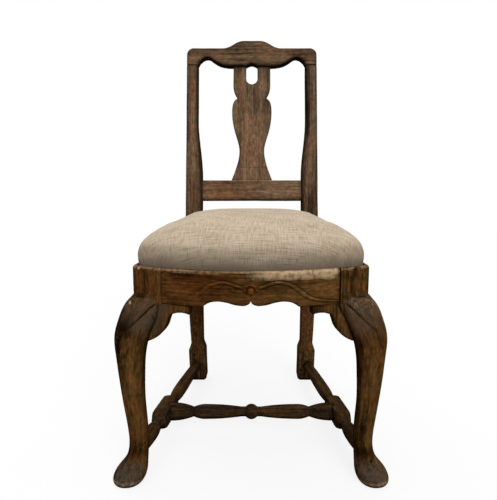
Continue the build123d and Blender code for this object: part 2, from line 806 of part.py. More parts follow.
def knee_bracket(plane, label):
    """A bracket that fills the corner between a rail and the knee, and its left-hand twin.

    Its curves are shares of the reach, the tip and the drop.
    """
    with BuildPart() as bracket:
        with BuildSketch(plane):
            with BuildLine():
                Line((bracket_reach, 0), (bracket_reach, -bracket_tip))
                ThreePointArc(
                    (bracket_reach, -bracket_tip),
                    (bracket_reach * 0.6, -bracket_tip * 0.84),
                    (bracket_reach * 0.3, -bracket_tip * 1.1),
                )
                Spline(
                    (bracket_reach * 0.3, -bracket_tip * 1.1),
                    (bracket_reach * 0.14, -bracket_drop * 0.56),
                    (-bracket_reach * 0.6, -bracket_drop),
                    tangents=[(-0.7, -1), (-1, -0.35)],
                )
                Polyline(
                    (-bracket_reach * 0.6, -bracket_drop),
                    (-bracket_reach, -bracket_drop),
                    (-bracket_root, 0),
                    (bracket_reach, 0),
                )
            make_face()
        extrude(amount=bracket_depth)
        add(right_front_leg, mode=Mode.SUBTRACT)
    right = finish(bracket, f"{label}_right")
    on_left(right, f"{label}_left")


front_bracket_plane = Plane(
    (block_inner, bracket_front, rail_bottom),
    x_dir=(-1, -bracket_skew, 0),
    z_dir=(-bracket_skew, 1, 0),
)
knee_bracket(front_bracket_plane, "knee_bracket_front")
knee_bracket(side_plane.offset(side_bracket_proud - bracket_depth), "knee_bracket_side")


def peg_group(right, label):
    """The right-hand pegs of a joint together with their left-hand twins."""
    with BuildPart() as pegs:
        add(right)
        mirror(right, about=Plane.YZ)
    finish(pegs, label)


peg_group(leg_pegs(peg_radius) + post_pegs(peg_radius), "pegs_side_rails")
peg_group(rear_pegs(peg_radius), "pegs_rear_rail")
peg_group(crest_pegs(small_peg / 2), "pegs_crest")

# Loose seat: layers from the ledge up
cover_inset = lip_width + seat_fit
lining_inset = cover_inset + cover_thickness
frame_inset = lining_inset + layer_gap
cover_base = ledge + seat_rest
frame_base = cover_base + cover_thickness + layer_gap
frame_top = frame_base + seat_frame_thickness
webbing_top = frame_top + 2 * webbing_thickness + layer_gap
hessian_base = webbing_top + layer_gap
stuffing_base = hessian_base + hessian_thickness + layer_gap
frame_round = seat_round + cover_thickness

# Half-lapped seat frame: the front and rear members lie over the side members
frame_front = front_corner(frame_inset)[1] + seat_frame_width / 2
frame_rear = post_y - frame_inset - seat_frame_width
lap = (frame_base + frame_top) / 2
everywhere = (-half_front, half_front)


def frame_plan():
    """The seat frame's whole plan as a slab."""
    with BuildPart() as slab:
        extrude(seat_plan(frame_base, frame_inset, frame_round, frame_round), amount=seat_frame_thickness)
    return slab.part


def side_strips(low, high):
    """The two strips that the side members lie in, between two heights."""
    with BuildPart() as strips:
        extrude(seat_plan(low, frame_inset, frame_round, frame_round), amount=high - low)
        with BuildSketch(Plane.XY.offset(low)):
            y1 = corner_y - front_bow
            inner = frame_inset + seat_frame_width
            x1 = side_x(y1, inner)
            x2 = side_x(post_y, inner)
            with BuildLine():
                Polyline((x1, y1), (x2, post_y), (-x2, post_y), (-x1, y1), close=True)
            make_face()
        extrude(amount=high - low, mode=Mode.SUBTRACT)
    return strips.part


front_zone = (corner_y - front_bow, frame_front)
rear_zone = (frame_rear, post_y)
for zone, label in ((front_zone, "seat_frame_front"), (rear_zone, "seat_frame_rear")):
    with BuildPart() as member:
        add(frame_plan())
        add(block(everywhere, zone, (frame_base, frame_top)), mode=Mode.INTERSECT)
        add(side_strips(frame_base, lap), mode=Mode.SUBTRACT)
    finish(member, label)

with BuildPart() as side_member:
    add(side_strips(frame_base, frame_top))
    right_half = block((0, half_front), (corner_y - front_bow, post_y), (frame_base, frame_top))
    add(right_half, mode=Mode.INTERSECT)
    for zone in (front_zone, rear_zone):
        add(block(everywhere, zone, (lap, frame_top)), mode=Mode.SUBTRACT)
right_member = finish(side_member, "seat_frame_right")
on_left(right_member, "seat_frame_left")

# Webbing: three straps front to back and three straps across them
with BuildPart() as webbing:
    strap_inset = frame_inset + seat_frame_width / 4
    for column in (-1, 0, 1):
        x = column * webbing_pitch
        outer = abs(x) + webbing_width / 2
        y1 = bow_centre - sqrt((bow_radius - strap_inset) ** 2 - outer**2)
        y2 = post_y - strap_inset
        with Locations((x, (y1 + y2) / 2, frame_top)):
            Box(webbing_width, y2 - y1, webbing_thickness, align=(Align.CENTER, Align.CENTER, Align.MIN))
    middle = (frame_front + frame_rear) / 2
    for row in (-1, 0, 1):
        y = middle + row * webbing_pitch
        length = 2 * side_x(y + webbing_width / 2, strap_inset)
        with Locations((0, y, frame_top + webbing_thickness + layer_gap)):
            Box(length, webbing_width, webbing_thickness, align=(Align.CENTER, Align.CENTER, Align.MIN))
finish(webbing, "seat_webbing")

with BuildPart() as hessian:
    extrude(seat_plan(hessian_base, strap_inset, frame_round, frame_round), amount=hessian_thickness)
finish(hessian, "seat_hessian")

# Cushion outline: height above the rail's top as a share of the crown, and inset from the seat's outline
crown = cushion_crown - rail_top
cushion_sections = (
    (0.020, cover_inset, seat_round),
    (0.085, 9.0, 16.0),
    (0.210, 7.5, 20.0),
    (0.360, 7.5, 24.0),
    (0.490, 10.0, 28.0),
    (0.600, 17.0, 36.0),
    (0.715, 28.5, 50.0),
    (0.835, 50.0, 62.0),
    (0.935, 87.0, 60.0),
    (1.000, 142.0, 40.0),
)


def cushion(skin):
    """The domed cushion above the rails, drawn in by the thickness of what lies over it."""
    with BuildPart() as dome:
        for share, inset, corner in cushion_sections:
            height = rail_top + share * crown - skin * share
            add(seat_plan(height, inset + skin, corner, corner))
        loft(dome.pending_faces, ruled=True)
    return dome.part


neck = rail_top + cushion_sections[0][0] * crown

# Linen cover: over the cushion, down into the rebate and turned under the seat frame
with BuildPart() as cover:
    add(cushion(0))
    extrude(seat_plan(cover_base, cover_inset, seat_round, seat_round), amount=neck - cover_base)
    add(cushion(cover_thickness), mode=Mode.SUBTRACT)
    hollow = cover_base + cover_thickness
    extrude(seat_plan(hollow, lining_inset, seat_round, seat_round), amount=neck - hollow, mode=Mode.SUBTRACT)
    extrude(seat_plan(cover_base, cover_inset + cover_turn), amount=cover_thickness, mode=Mode.SUBTRACT)
finish(cover, "seat_cover")

# Stuffing between the hessian and the cover
with BuildPart() as stuffing:
    add(cushion(cover_thickness + layer_gap))
    keep = block(everywhere, (corner_y - 2 * front_bow, post_y), (stuffing_base, cushion_crown))
    add(keep, mode=Mode.INTERSECT)
finish(stuffing, "seat_stuffing")
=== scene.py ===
import math
from functools import partial
from itertools import product
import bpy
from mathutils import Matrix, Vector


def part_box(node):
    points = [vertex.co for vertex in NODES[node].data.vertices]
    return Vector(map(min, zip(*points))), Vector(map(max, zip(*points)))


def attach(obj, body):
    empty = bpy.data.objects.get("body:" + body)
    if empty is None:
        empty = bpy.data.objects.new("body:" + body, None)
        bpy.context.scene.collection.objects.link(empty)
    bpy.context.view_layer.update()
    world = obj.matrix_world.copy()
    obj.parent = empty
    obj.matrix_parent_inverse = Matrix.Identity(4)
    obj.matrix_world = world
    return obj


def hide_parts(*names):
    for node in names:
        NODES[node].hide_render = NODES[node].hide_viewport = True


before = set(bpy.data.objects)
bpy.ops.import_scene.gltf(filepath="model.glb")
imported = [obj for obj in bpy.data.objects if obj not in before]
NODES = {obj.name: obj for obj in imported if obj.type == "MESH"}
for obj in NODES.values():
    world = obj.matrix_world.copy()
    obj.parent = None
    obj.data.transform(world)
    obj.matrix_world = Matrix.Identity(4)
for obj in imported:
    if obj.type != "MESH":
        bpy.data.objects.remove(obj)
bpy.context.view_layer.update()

from types import SimpleNamespace

import bmesh
import bpy
import numpy as np
from bpy.props import FloatProperty, FloatVectorProperty, PointerProperty
from mathutils import Vector, noise

bl_info = {
    "name": "Bow-front Side Chair",
    "version": (1, 0, 0),
    "blender": (4, 5, 0),
    "location": "View3D > Sidebar > Chair",
    "description": "Dresses the chair's timber, carves its rail and knees and pads its loose seat",
    "category": "Object",
}

MM = 0.001
TIMBER = "chair_frame"
SEAT = "drop_in_seat"
SEAT_FRAME = ["seat_frame_front", "seat_frame_rear", "seat_frame_left", "seat_frame_right"]
RAIL_LOW, RAIL_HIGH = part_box("front_rail")
BLOCK_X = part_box("front_leg_right")[0].x
COVER_LOW, COVER_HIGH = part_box("seat_cover")
STUFFING_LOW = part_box("seat_stuffing")[0]
FRAME_LOW, FRAME_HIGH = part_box("seat_frame_front")
REAR_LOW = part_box("seat_frame_rear")[0]
STRAPS_LOW, STRAPS_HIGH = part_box("seat_webbing")

# heights in metres at which the lighter wood of the back above the seat, the linen's soil and painted shade,
# and the painted shadow along the linen's foot start and are full
ABOVE_SEAT = (0.42, 0.56)
SOILED_AND_SHADED = (0.472, 0.45)
LINEN_FOOT_SHADOW = (0.445, 0.43)

# kinds of shader node that are used most
MIX = "ShaderNodeMix"
MATH = "ShaderNodeMath"
RANGE = "ShaderNodeMapRange"
NOISE = "ShaderNodeTexNoise"
VECTOR = "ShaderNodeVectorMath"
SPLIT = "ShaderNodeSeparateXYZ"
COORDINATES = "ShaderNodeTexCoord"
PRINCIPLED = "ShaderNodeBsdfPrincipled"
OUTPUT = "ShaderNodeOutputMaterial"


def paint(code):
    """Linear RGB of an sRGB hex colour."""
    parts = [int(code[i : i + 2], 16) / 255 for i in (0, 2, 4)]
    return tuple(c / 12.92 if c <= 0.04045 else ((c + 0.055) / 1.055) ** 2.4 for c in parts)


def length(name, default, description):
    """A size in metres."""
    return FloatProperty(name=name, description=description, default=default, unit="LENGTH", precision=4)


def amount(name, default, description):
    """A plain number."""
    return FloatProperty(name=name, description=description, default=default)


def colour(name, code, description):
    """A colour, given as sRGB hex."""
    shown = {"subtype": "COLOR", "min": 0, "max": 1}
    return FloatVectorProperty(name=name, description=description, default=paint(code), **shown)


class ChairTimber(bpy.types.PropertyGroup):
    """Colours and grain of the wood"""

    stain: colour("Stain", "1f1206", "Dark brown of the stained legs and rails")
    heart: colour("Heartwood", "74522b", "Lighter brown between the dark streaks")
    # grime is the old wax and dirt in the pores, and also the colour of the painted shade in corners, on
    # undersides, along edges and in creases and carved lines
    grime_and_shade: colour("Grime", "0d0602", "Old wax and dirt in pores and corners")
    # lighter colours for the back above the seat
    upper_back: colour("Bleached back", "977a5f", "Lighter brown of the back above the seat")
    upper_back_grain: colour("Bleached grain", "3d2e22", "Dark grain of the back above the seat")
    russet: colour("Russet", "7a4520", "Redder brown where old varnish is left")
    # rubbed and bare also colour the painted glints on the left front leg and the painted light on the rear
    # legs below the seat
    rubbed: colour("Rubbed edge", "8f6a42", "Edges from which the stain is rubbed")
    bare: colour("Worn wood", "d4b68f", "Bare wood where the stain has worn off")
    foot: colour("Foot", "53483d", "Grey of the scuffed feet and knees")
    pine: colour("Pine", "b58f5e", "Bare softwood of the loose seat's frame")
    ring: length("Ring width", 11 * MM, "Width of a band of growth rings")
    fibre: length("Fibre width", 3 * MM, "Width of a streak of fibres")
    fibre_run: length("Fibre length", 110 * MM, "Length of a streak of fibres")
    fleck: length("Fleck width", 4.5 * MM, "Width of a fine fleck")
    fleck_run: length("Fleck length", 14 * MM, "Length of a fine fleck")
    edge: length("Edge rounding", 3 * MM, "How far worn edges are rounded")


class ChairCarving(bpy.types.PropertyGroup):
    """Sizes of the front rail, and of the carver's cuts and tool marks"""

    half_front: length("Half front", 232 * MM, "Half the seat's width at its front corners")
    bow: length("Bow", 56 * MM, "How far the front rail's middle stands before the corners")
    thickness: length("Rail thickness", 28 * MM, "Thickness of the front rail")
    lip: length("Lip width", 10 * MM, "Width of the lip outside the rebate")
    lip_round: length("Lip rounding", 6 * MM, "Rounding of the rail's upper edge")
    toe: length("Toe", 2 * MM, "Easing of the rail's lower edge")
    rebate: length("Rebate depth", 16 * MM, "Depth of the rebate for the loose seat")
    groove: length("Groove depth", 1.7 * MM, "Depth of the carved lines")
    groove_width: length("Groove width", 2 * MM, "Width of the carved lines")
    knee_groove: length("Knee groove depth", 1.9 * MM, "Depth of the grooves on the knees")
    voxel: length("Carving detail", 2 * MM, "Size of the facets of the carved legs")
    fine_voxel: length("Turning detail", 1.5 * MM, "Size of the facets of the stretchers and the brackets")
    ripple: length("Tool ripple", 0.35 * MM, "Unevenness left by the carver's tools")
    # dark_edge is how far the painted shade, with some old dirt, reaches in from the edges of the back
    dark_edge: length("Dark edge", 6 * MM, "How far the old stain shows along the edges of the back")


class ChairSeat(bpy.types.PropertyGroup):
    """Colours and sizes of the loose seat's cloth, straps and tacks"""

    flax: colour("Flax", "d6c4ab", "Pale thread of the linen")
    tow: colour("Tow", "a18c70", "Dark thread of the linen")
    # soil is the linen's handled front edge, partly soil and partly painted shade on the front roll
    soil_and_shade: colour("Soil", "948370", "Handled front edge of the linen")
    jute: colour("Jute", "8f754f", "Thread of the webbing and the hessian")
    tack: colour("Tack", "34302c", "Blued iron tacks")
    rust: colour("Rust", "5a4636", "Rust specks on the tacks")
    thread: length("Thread spacing", 2.5 * MM, "Spacing of the linen's threads")
    slub: length("Slub length", 46 * MM, "Length of the thick places in a thread")
    coarse_thread: length("Jute spacing", 2.4 * MM, "Spacing of the jute's threads")
    coarse_slub: length("Jute slub length", 30 * MM, "Length of the thick places in the jute")
    voxel: length("Pad detail", 6 * MM, "Size of the facets of the pad before it swells")
    swell: length("Swell", 3 * MM, "How far the pad may swell")
    pressure: amount("Pressure", 4.0, "Pressure of the stuffing on the cover")
    turn: length("Turned edge", 26 * MM, "Linen turned under the seat frame")
    tack_head: length("Tack head", 5 * MM, "Diameter of a tack's head")
    tack_pitch: length("Tack pitch", 32 * MM, "Distance between tacks")
    strap: length("Strap width", 52 * MM, "Width of a webbing strap")
    strap_thickness: length("Strap thickness", 1 * MM, "Thickness of a webbing strap")
    strap_pitch: length("Strap pitch", 98 * MM, "Distance between webbing straps")


class ChairStage(bpy.types.PropertyGroup):
    """Camera, floor and light"""

    eye: FloatVectorProperty(
        name="Camera place",
        description="Where the camera stands",
        default=(0.006, -1.12863, 0.62621),
        subtype="TRANSLATION",
    )
    tilt: FloatProperty(
        name="Tilt", description="Camera tilt below level", default=math.radians(8), subtype="ANGLE"
    )
    focal: amount("Focal length", 0.96, "Focal length in image heights")
    shift: FloatVectorProperty(
        name="Shift", description="Offset of the view in image heights", default=(-0.011, -0.0419), size=2
    )
    floor: colour("Floor", "fbfbfb", "Floor as the camera sees it")
    bounce: colour("Floor bounce", "7c7a77", "Floor as it lights the chair")
    veil: amount("Veil", 0.85, "How far the white of the floor hides its shadow")
    sky: amount("Sky", 0.17, "Strength of the even light all round")
    overhead: amount("Overhead", 1.2, "Strength of the soft light above")
    front: amount("Front", 1.6, "Strength of the soft light in front")
    rear: amount("Rear", 0.8, "Strength of the weak light behind")


def add(tree, kind, *values, named=None, **settings):
    """Add a node with its settings, and set or link its inputs in order or by name."""
    made = tree.nodes.new(kind)
    for key, value in settings.items():
        setattr(made, key, value)
    pairs = list(zip([s for s in made.inputs if s.enabled], values))
    pairs += [(made.inputs[key], value) for key, value in (named or {}).items()]
    for socket, value in pairs:
        if isinstance(value, bpy.types.Node):
            value = next(s for s in value.outputs if s.enabled)
        if isinstance(value, bpy.types.NodeSocket):
            tree.links.new(value, socket)
        elif socket.type == "RGBA":
            socket.default_value = (*value, 1)
        else:
            socket.default_value = value
    return made


def new_material(name, rgb):
    """A material with a plain colour for the viewport, and a function that adds nodes to its empty tree."""
    made = bpy.data.materials.new(name)
    made.use_nodes = True
    made.node_tree.nodes.clear()
    made.diffuse_color = (*rgb, 1)
    return made, partial(add, made.node_tree)


def dress(mesh, material):
    """Give a mesh its one material."""
    mesh.materials.clear()
    mesh.materials.append(material)


def new_object(name, data):
    """An object in the scene."""
    made = bpy.data.objects.new(name, data)
    bpy.context.scene.collection.objects.link(made)
    return made


def new_piece(name, mesh, material, body, slot, *nodes):
    """An object for a finished mesh, which rides on a body of the frame and stands for some of its nodes."""
    piece = new_object(name, mesh)
    dress(mesh, material)
    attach(piece, body)
    if nodes:
        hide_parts(*nodes)
    return piece


def read_out(rows, key, wide=3, kind=np.float32):
    """What each row of a mesh's vertices, normals or edges holds."""
    values = np.empty(len(rows) * wide, kind)
    rows.foreach_get(key, values)
    return values.reshape(-1, wide)


def vertex_array(mesh):
    return read_out(mesh.vertices, "co").astype(float)


def normal_array(mesh):
    return read_out(mesh.vertex_normals, "vector").astype(float)


def edge_array(mesh):
    return read_out(mesh.edges, "vertices", 2, np.int32)


def set_vertices(mesh, co):
    mesh.vertices.foreach_set("co", np.asarray(co, np.float32).ravel())
    mesh.update()


def push(mesh, far):
    """Move each vertex outwards."""
    set_vertices(mesh, vertex_array(mesh) + normal_array(mesh) * far[:, None])


def ramp(values, start, end):
    """Nought at start and before it, rising evenly to one at end."""
    return np.clip((values - start) / (end - start), 0, 1)


def bell(values, middle, reach):
    """One at the middle, falling off softly to both sides."""
    return np.exp(-(((values - middle) / reach) ** 2))


def dome(values):
    """One at nought, falling in a round to nought at one."""
    return np.sqrt(np.clip(1 - values**2, 0, 1))


def neighbour_mean(mesh):
    """A function for the mean of some values over the vertices that share an edge."""
    one, other = edge_array(mesh).T
    count = np.bincount(np.append(one, other), minlength=len(mesh.vertices))
    count = np.maximum(count, 1).astype(float)

    def mean(values):
        total = np.zeros_like(values)
        np.add.at(total, one, values[other])
        np.add.at(total, other, values[one])
        return (total.T / count).T

    return mean


def edge_length(mesh):
    """Mean length of a mesh's edges."""
    ends = vertex_array(mesh)[edge_array(mesh)]
    return np.linalg.norm(np.diff(ends, axis=1), axis=2).mean()


def welded(*sources):
    """The surfaces of some nodes or meshes, with their doubled vertices joined."""
    shell = bmesh.new()
    for source in sources:
        shell.from_mesh(NODES[source].data if isinstance(source, str) else source)
    bmesh.ops.remove_doubles(shell, verts=shell.verts, dist=0.02 * MM)
    return shell


def as_mesh(shell, name):
    """A mesh of a surface that is done with."""
    mesh = bpy.data.meshes.new(name)
    shell.to_mesh(mesh)
    shell.free()
    return mesh


def solid_mesh(name, points, faces):
    """A closed mesh with its faces turned outwards."""
    mesh = bpy.data.meshes.new(name)
    mesh.from_pydata(points, [], faces)
    shell = bmesh.new()
    shell.from_mesh(mesh)
    bmesh.ops.recalc_face_normals(shell, faces=shell.faces)
    shell.to_mesh(mesh)
    shell.free()
    return mesh


def evaluated_mesh(piece):
    """The piece's mesh with its modifiers applied."""
    bpy.context.view_layer.update()
    graph = bpy.context.evaluated_depsgraph_get()
    return bpy.data.meshes.new_from_object(piece.evaluated_get(graph))


def remeshed(solids, voxel):
    """An even mesh of what some solids, nodes or meshes, fill together."""
    mesh = as_mesh(welded(*solids), "blank")
    blank = new_object("blank", mesh)
    even = blank.modifiers.new("Even", "REMESH")
    even.mode = "VOXEL"
    even.voxel_size = voxel
    even.use_smooth_shade = True
    made = evaluated_mesh(blank)
    bpy.data.objects.remove(blank)
    bpy.data.meshes.remove(mesh)
    made.materials.clear()
    return made


def relax(mesh, rounds):
    """Smooth away a remesh's steps without shrinking the shape."""
    co = vertex_array(mesh)
    mean = neighbour_mean(mesh)
    for _ in range(rounds):
        for share in (0.5, -0.52):
            co += share * (mean(co) - co)
    set_vertices(mesh, co)


def rounded(mesh):
    """How convex the surface is at each vertex, from -1 in a hollow to 1 on an edge."""
    co = vertex_array(mesh)
    mean = neighbour_mean(mesh)
    bend = -((mean(co) - co) * normal_array(mesh)).sum(1) / edge_length(mesh)
    for _ in range(2):
        bend = (bend + mean(bend)) / 2
    sharp = 0.12
    return np.clip(bend / sharp, -1, 1)


def edge_shade(mesh, reach):
    """Painted shade, with some dirt, along a piece's edges: how near an edge each vertex lies, from 0 on a
    flat to 1, less where the edge looks up to the light.
    """
    mean = neighbour_mean(mesh)
    way = normal_array(mesh)
    for _ in range(round(2 * (reach / edge_length(mesh)) ** 2)):
        way = (way + mean(way)) / 2
    size = np.linalg.norm(way, axis=1)
    upward = np.clip(way[:, 2] / np.maximum(size, 1e-6), 0, 1)
    sharp = 0.24
    return ramp(1 - size, 0, sharp) * (1 - 0.7 * upward)


def smooth_line(points, along):
    """Values of a smooth curve through a few points (cubic, with even slopes)."""
    x, y = np.array(points, float).T
    slope = np.gradient(y, x)
    k = np.clip(np.searchsorted(x, along) - 1, 0, len(x) - 2)
    h = x[k + 1] - x[k]
    t = np.clip((along - x[k]) / h, 0, 1)
    a = (1 + 2 * t) * (1 - t) ** 2
    b = t * (1 - t) ** 2 * h
    c = t * t * (3 - 2 * t)
    d = t * t * (t - 1) * h
    return a * y[k] + b * slope[k] + c * y[k + 1] + d * slope[k + 1]


# the marks: shade holds the wood's tone with some painted light and shade and the carving's painted
# highlights; hollow holds painted shade on edges, in creases and carved lines, with dark joints, cracks and
# holes; wear holds wear, painted glints and painted light
MARKS = ("shade", "red", "hollow", "scuff", "wear")

# the axes in which a piece may lean or bow, for each way that its fibres run
BENDS = {"X": (1,), "Y": (0,), "Z": (0, 1)}


def lay_grain(mesh, fibres, follow):
    """Keep each vertex's place beside the piece's middle line, so that the fibres follow a lean or a bow."""
    co = vertex_array(mesh)
    run = co[:, "XYZ".index(fibres)].copy()
    step = 12 * MM
    slot = np.round((run - run.min()) / step).astype(int)
    share = np.maximum(np.bincount(slot), 1)
    for axis in BENDS[fibres] if follow else ():
        middle = np.bincount(slot, co[:, axis]) / share
        middle = np.convolve(np.pad(middle, 2, mode="edge"), np.ones(5) / 5, "valid")
        co[:, axis] -= np.interp(run, run.min() + np.arange(len(middle)) * step, middle)
    layer = mesh.attributes.new("grain", "FLOAT_VECTOR", "POINT")
    layer.data.foreach_set("vector", np.asarray(co, np.float32).ravel())


def store_marks(mesh, fibres, patches, follow=True, **marks):
    """Lay a piece's grain, and keep its marks and soft patches."""
    lay_grain(mesh, fibres, follow)
    co = vertex_array(mesh) / MM
    for key in ("shade", "red"):
        marks.setdefault(key, np.zeros(len(co)))
    for x, z, wide, high, lighter, redder in patches:
        near = bell(co[:, 0], x, wide) * bell(co[:, 2], z, high)
        marks["shade"] = marks["shade"] + lighter * near
        marks["red"] = np.clip(marks["red"] + redder * near, 0, 1)
    for key, values in marks.items():
        layer = mesh.attributes.new(key, "FLOAT", "POINT")
        layer.data.foreach_set("value", np.asarray(values, np.float32))


def worked(node, voxel):
    """An even copy of a node with eased edges and the soft unevenness of hand tools."""
    mesh = remeshed((node,), voxel)
    relax(mesh, 4)
    often = (28, 28, 16)
    uneven = np.array([noise.noise(Vector(place * often)) for place in vertex_array(mesh)])
    push(mesh, bpy.context.scene.chair_carving.ripple * uneven)
    co = vertex_array(mesh)
    co[:, 2] = np.maximum(co[:, 2], 0)
    set_vertices(mesh, co)
    mesh.shade_smooth()
    return mesh


def oak_patterns(put, wood, place, fibres, worked_piece):
    """Rings, fibres, pores and flecks along the grain, drawn coarser than life so that they show, and clouds
    of patina, mottle, specks and nicks."""
    laid = put("ShaderNodeAttribute", attribute_name="grain").outputs["Vector"] if worked_piece else place
    turn = {"X": (0, math.pi / 2, 0), "Y": (math.pi / 2, 0, 0), "Z": (0, 0, 0)}[fibres]
    along = put("ShaderNodeMapping", laid, named={"Rotation": turn})
    oak = {}
    for name, width, run, detail, bend in (
        ("bands", wood.ring, wood.ring * 16, 2.0, 0.4),
        ("fibre", wood.fibre, wood.fibre_run, 1.5, 0.2),
        ("pores", wood.fibre * 0.6, wood.fibre_run * 0.5, 1.0, 0),
        ("flecks", wood.fleck, wood.fleck_run, 3.0, 0.2),
    ):
        drawn = put(VECTOR, along, (1 / width, 1 / width, 1 / run), operation="MULTIPLY")
        wanted = {"Scale": 1.0, "Detail": detail, "Roughness": 0.5, "Distortion": bend}
        oak[name] = put(NOISE, drawn, named=wanted)
    for name, size, detail, rough in (
        ("patina", 70 * MM, 3.0, 0.6),
        ("mottle", 16 * MM, 5.0, 0.75),
        ("speck", 8 * MM, 3.0, 0.6),
        ("nicks", 6 * MM, 2.0, 0.6),
    ):
        oak[name] = put(NOISE, place, named={"Scale": 1 / size, "Detail": detail, "Roughness": rough})
    oak["pores"] = put(RANGE, oak["pores"], 0.55, 0.72, 0, 1)
    return SimpleNamespace(**oak)


def oak_stain(put, wood, place, oak, mark, depth):
    """The stain's colour: darker below the seat, lighter on the back above it, and redder under old varnish.
    """
    figure = mark["shade"]
    for texture, weight in ((oak.bands, 1.0), (oak.fibre, 0.9), (oak.patina, 0.8)):
        figure = put(MATH, texture, weight, figure, operation="MULTIPLY_ADD")
    figure = put(RANGE, figure, 0.98 + depth, 1.74 + depth, 0, 1)
    height = put(SPLIT, place).outputs["Z"]
    above_seat = put(RANGE, height, *ABOVE_SEAT, 0, 1)
    dark = put(MIX, above_seat, wood.stain, wood.upper_back_grain, data_type="RGBA")
    light = put(MIX, above_seat, wood.heart, wood.upper_back, data_type="RGBA")
    varnish = put(RANGE, oak.patina, 0.5, 0.75, 0, 0.5)
    varnish = put(MATH, varnish, mark["red"], operation="MAXIMUM")
    light = put(MIX, varnish, light, wood.russet, data_type="RGBA")
    tint = put(MIX, figure, dark, light, data_type="RGBA")
    tinged = put(MIX, 0.35, oak.mottle, oak.mottle.outputs["Color"], data_type="RGBA")
    for share, texture in ((1.0, tinged), (0.85, oak.flecks)):
        tint = put(MIX, share, tint, texture, data_type="RGBA", blend_type="OVERLAY")
    return tint


def oak_coats(put, wood, soft, oak, mark, corner):
    """What lies over the stain or has rubbed it off, and the painted shade laid over it, in its order: how
    much of it shows, and its colour.
    """
    nicks = put(RANGE, oak.nicks, 0.62, 0.76, 0, 0.35)

    # painted shade: the darker stain on what faces away from the light in front, sideways, backwards or down
    facing = put(VECTOR, soft, (0, -0.8, 0.6), operation="DOT_PRODUCT")
    away = put(RANGE, facing, 0.62, -0.2, 0, 0.4)

    # grey scuffs, and ragged worn places that show the bare wood; the same mark and colours also make
    # painted glints and painted light
    grey = put(RANGE, oak.speck, 0.35, 0.6, 0.3, 1)
    grey = put(MATH, grey, mark["scuff"], operation="MULTIPLY")
    ragged = mark["wear"]
    for texture in (oak.speck, oak.fibre):
        ragged = put(MATH, texture, 0.6, ragged, operation="MULTIPLY_ADD")
    ragged = put(RANGE, ragged, 0.8, 1.6, 0, 0.95)
    bared = put(RANGE, oak.speck, 0.25, 0.52, 0, 1)
    bared = put(MIX, bared, wood.rubbed, wood.bare, data_type="RGBA")

    # old wax and dirt in the pores; painted shade on undersides and, from the ambient occlusion, in corners;
    # and the blackened marks: painted shade on edges, in creases and carved lines, with dark joints, cracks
    # and holes
    up = put(SPLIT, soft).outputs["Z"]
    below = put(RANGE, up, -0.15, -0.7, 0, 0.8)
    shut = put("ShaderNodeAmbientOcclusion", named={"Distance": 20 * MM}, samples=6).outputs["AO"]
    shut = put(RANGE, shut, 0.8, 0.3, 0, corner)
    black = put(MATH, oak.pores, 0.22, operation="MULTIPLY")
    for cause in (below, shut, mark["hollow"]):
        black = put(MATH, black, cause, operation="MAXIMUM")
    coats = [(nicks, wood.rubbed), (away, wood.stain), (grey, wood.foot)]
    return coats + [(ragged, bared), (black, wood.grime_and_shade)]


def stained_oak(name, fibres, depth=0.0, corner=0.85, worked_piece=True):
    """Oak worked by hand, stained dark and waxed for generations: long soft streaks and open pores along the
    fibres, old wax and dirt in the pores, painted shade on the sides and undersides and in the corners, and
    a back that is lighter above the seat. The marks on a piece say where it is lighter or darker, partly as
    painted light and shade, redder, blackened, mostly as painted shade, scuffed grey or worn bare, with some
    painted glints and painted light in the worn-wood colours. Depth darkens the streaks, and corner is how
    dark the painted shade in the corners is."""
    wood = bpy.context.scene.chair_timber
    made, put = new_material(name, wood.stain)
    place = put(COORDINATES).outputs["Object"]
    mark = {key: put("ShaderNodeAttribute", attribute_name=key).outputs["Fac"] for key in MARKS}
    oak = oak_patterns(put, wood, place, fibres, worked_piece)
    soft = put("ShaderNodeBevel", named={"Radius": wood.edge}, samples=4)
    tint = oak_stain(put, wood, place, oak, mark, depth)
    for share, coat in oak_coats(put, wood, soft, oak, mark, corner):
        tint = put(MIX, share, tint, coat, data_type="RGBA")
    lift = put(MATH, oak.patina, 1.6, oak.fibre, operation="MULTIPLY_ADD")
    lift = put(MATH, oak.pores, -0.4, lift, operation="MULTIPLY_ADD")
    bumps = {"Strength": 0.7, "Distance": 0.8 * MM, "Height": lift, "Normal": soft}
    surface = {
        "Base Color": tint,
        "Roughness": put(RANGE, oak.patina, 0.3, 0.7, 0.36, 0.6),
        "IOR": 1.5,
        "Specular IOR Level": 0.0,
        "Normal": put("ShaderNodeBump", named=bumps),
    }
    put(OUTPUT, put(PRINCIPLED, named=surface))
    return made


def bare_pine():
    """Planed softwood without any finish: yellow, with straight brown grain lines."""
    wood = bpy.context.scene.chair_timber
    made, put = new_material("bare_pine", wood.pine)
    drawn = put(VECTOR, put(COORDINATES).outputs["Object"], (0.12, 1, 1), operation="MULTIPLY")
    grain = put(NOISE, drawn, named={"Scale": 1 / (4 * MM), "Detail": 3.0, "Distortion": 0.3})
    share = put(RANGE, grain, 0.35, 0.65, 0, 1)
    late = tuple(0.55 * c for c in wood.pine)
    surface = {
        "Base Color": put(MIX, share, late, wood.pine, data_type="RGBA"),
        "Roughness": 0.72,
        "Normal": put("ShaderNodeBump", named={"Strength": 0.4, "Distance": 0.3 * MM, "Height": grain}),
    }
    put(OUTPUT, put(PRINCIPLED, named=surface))
    return made


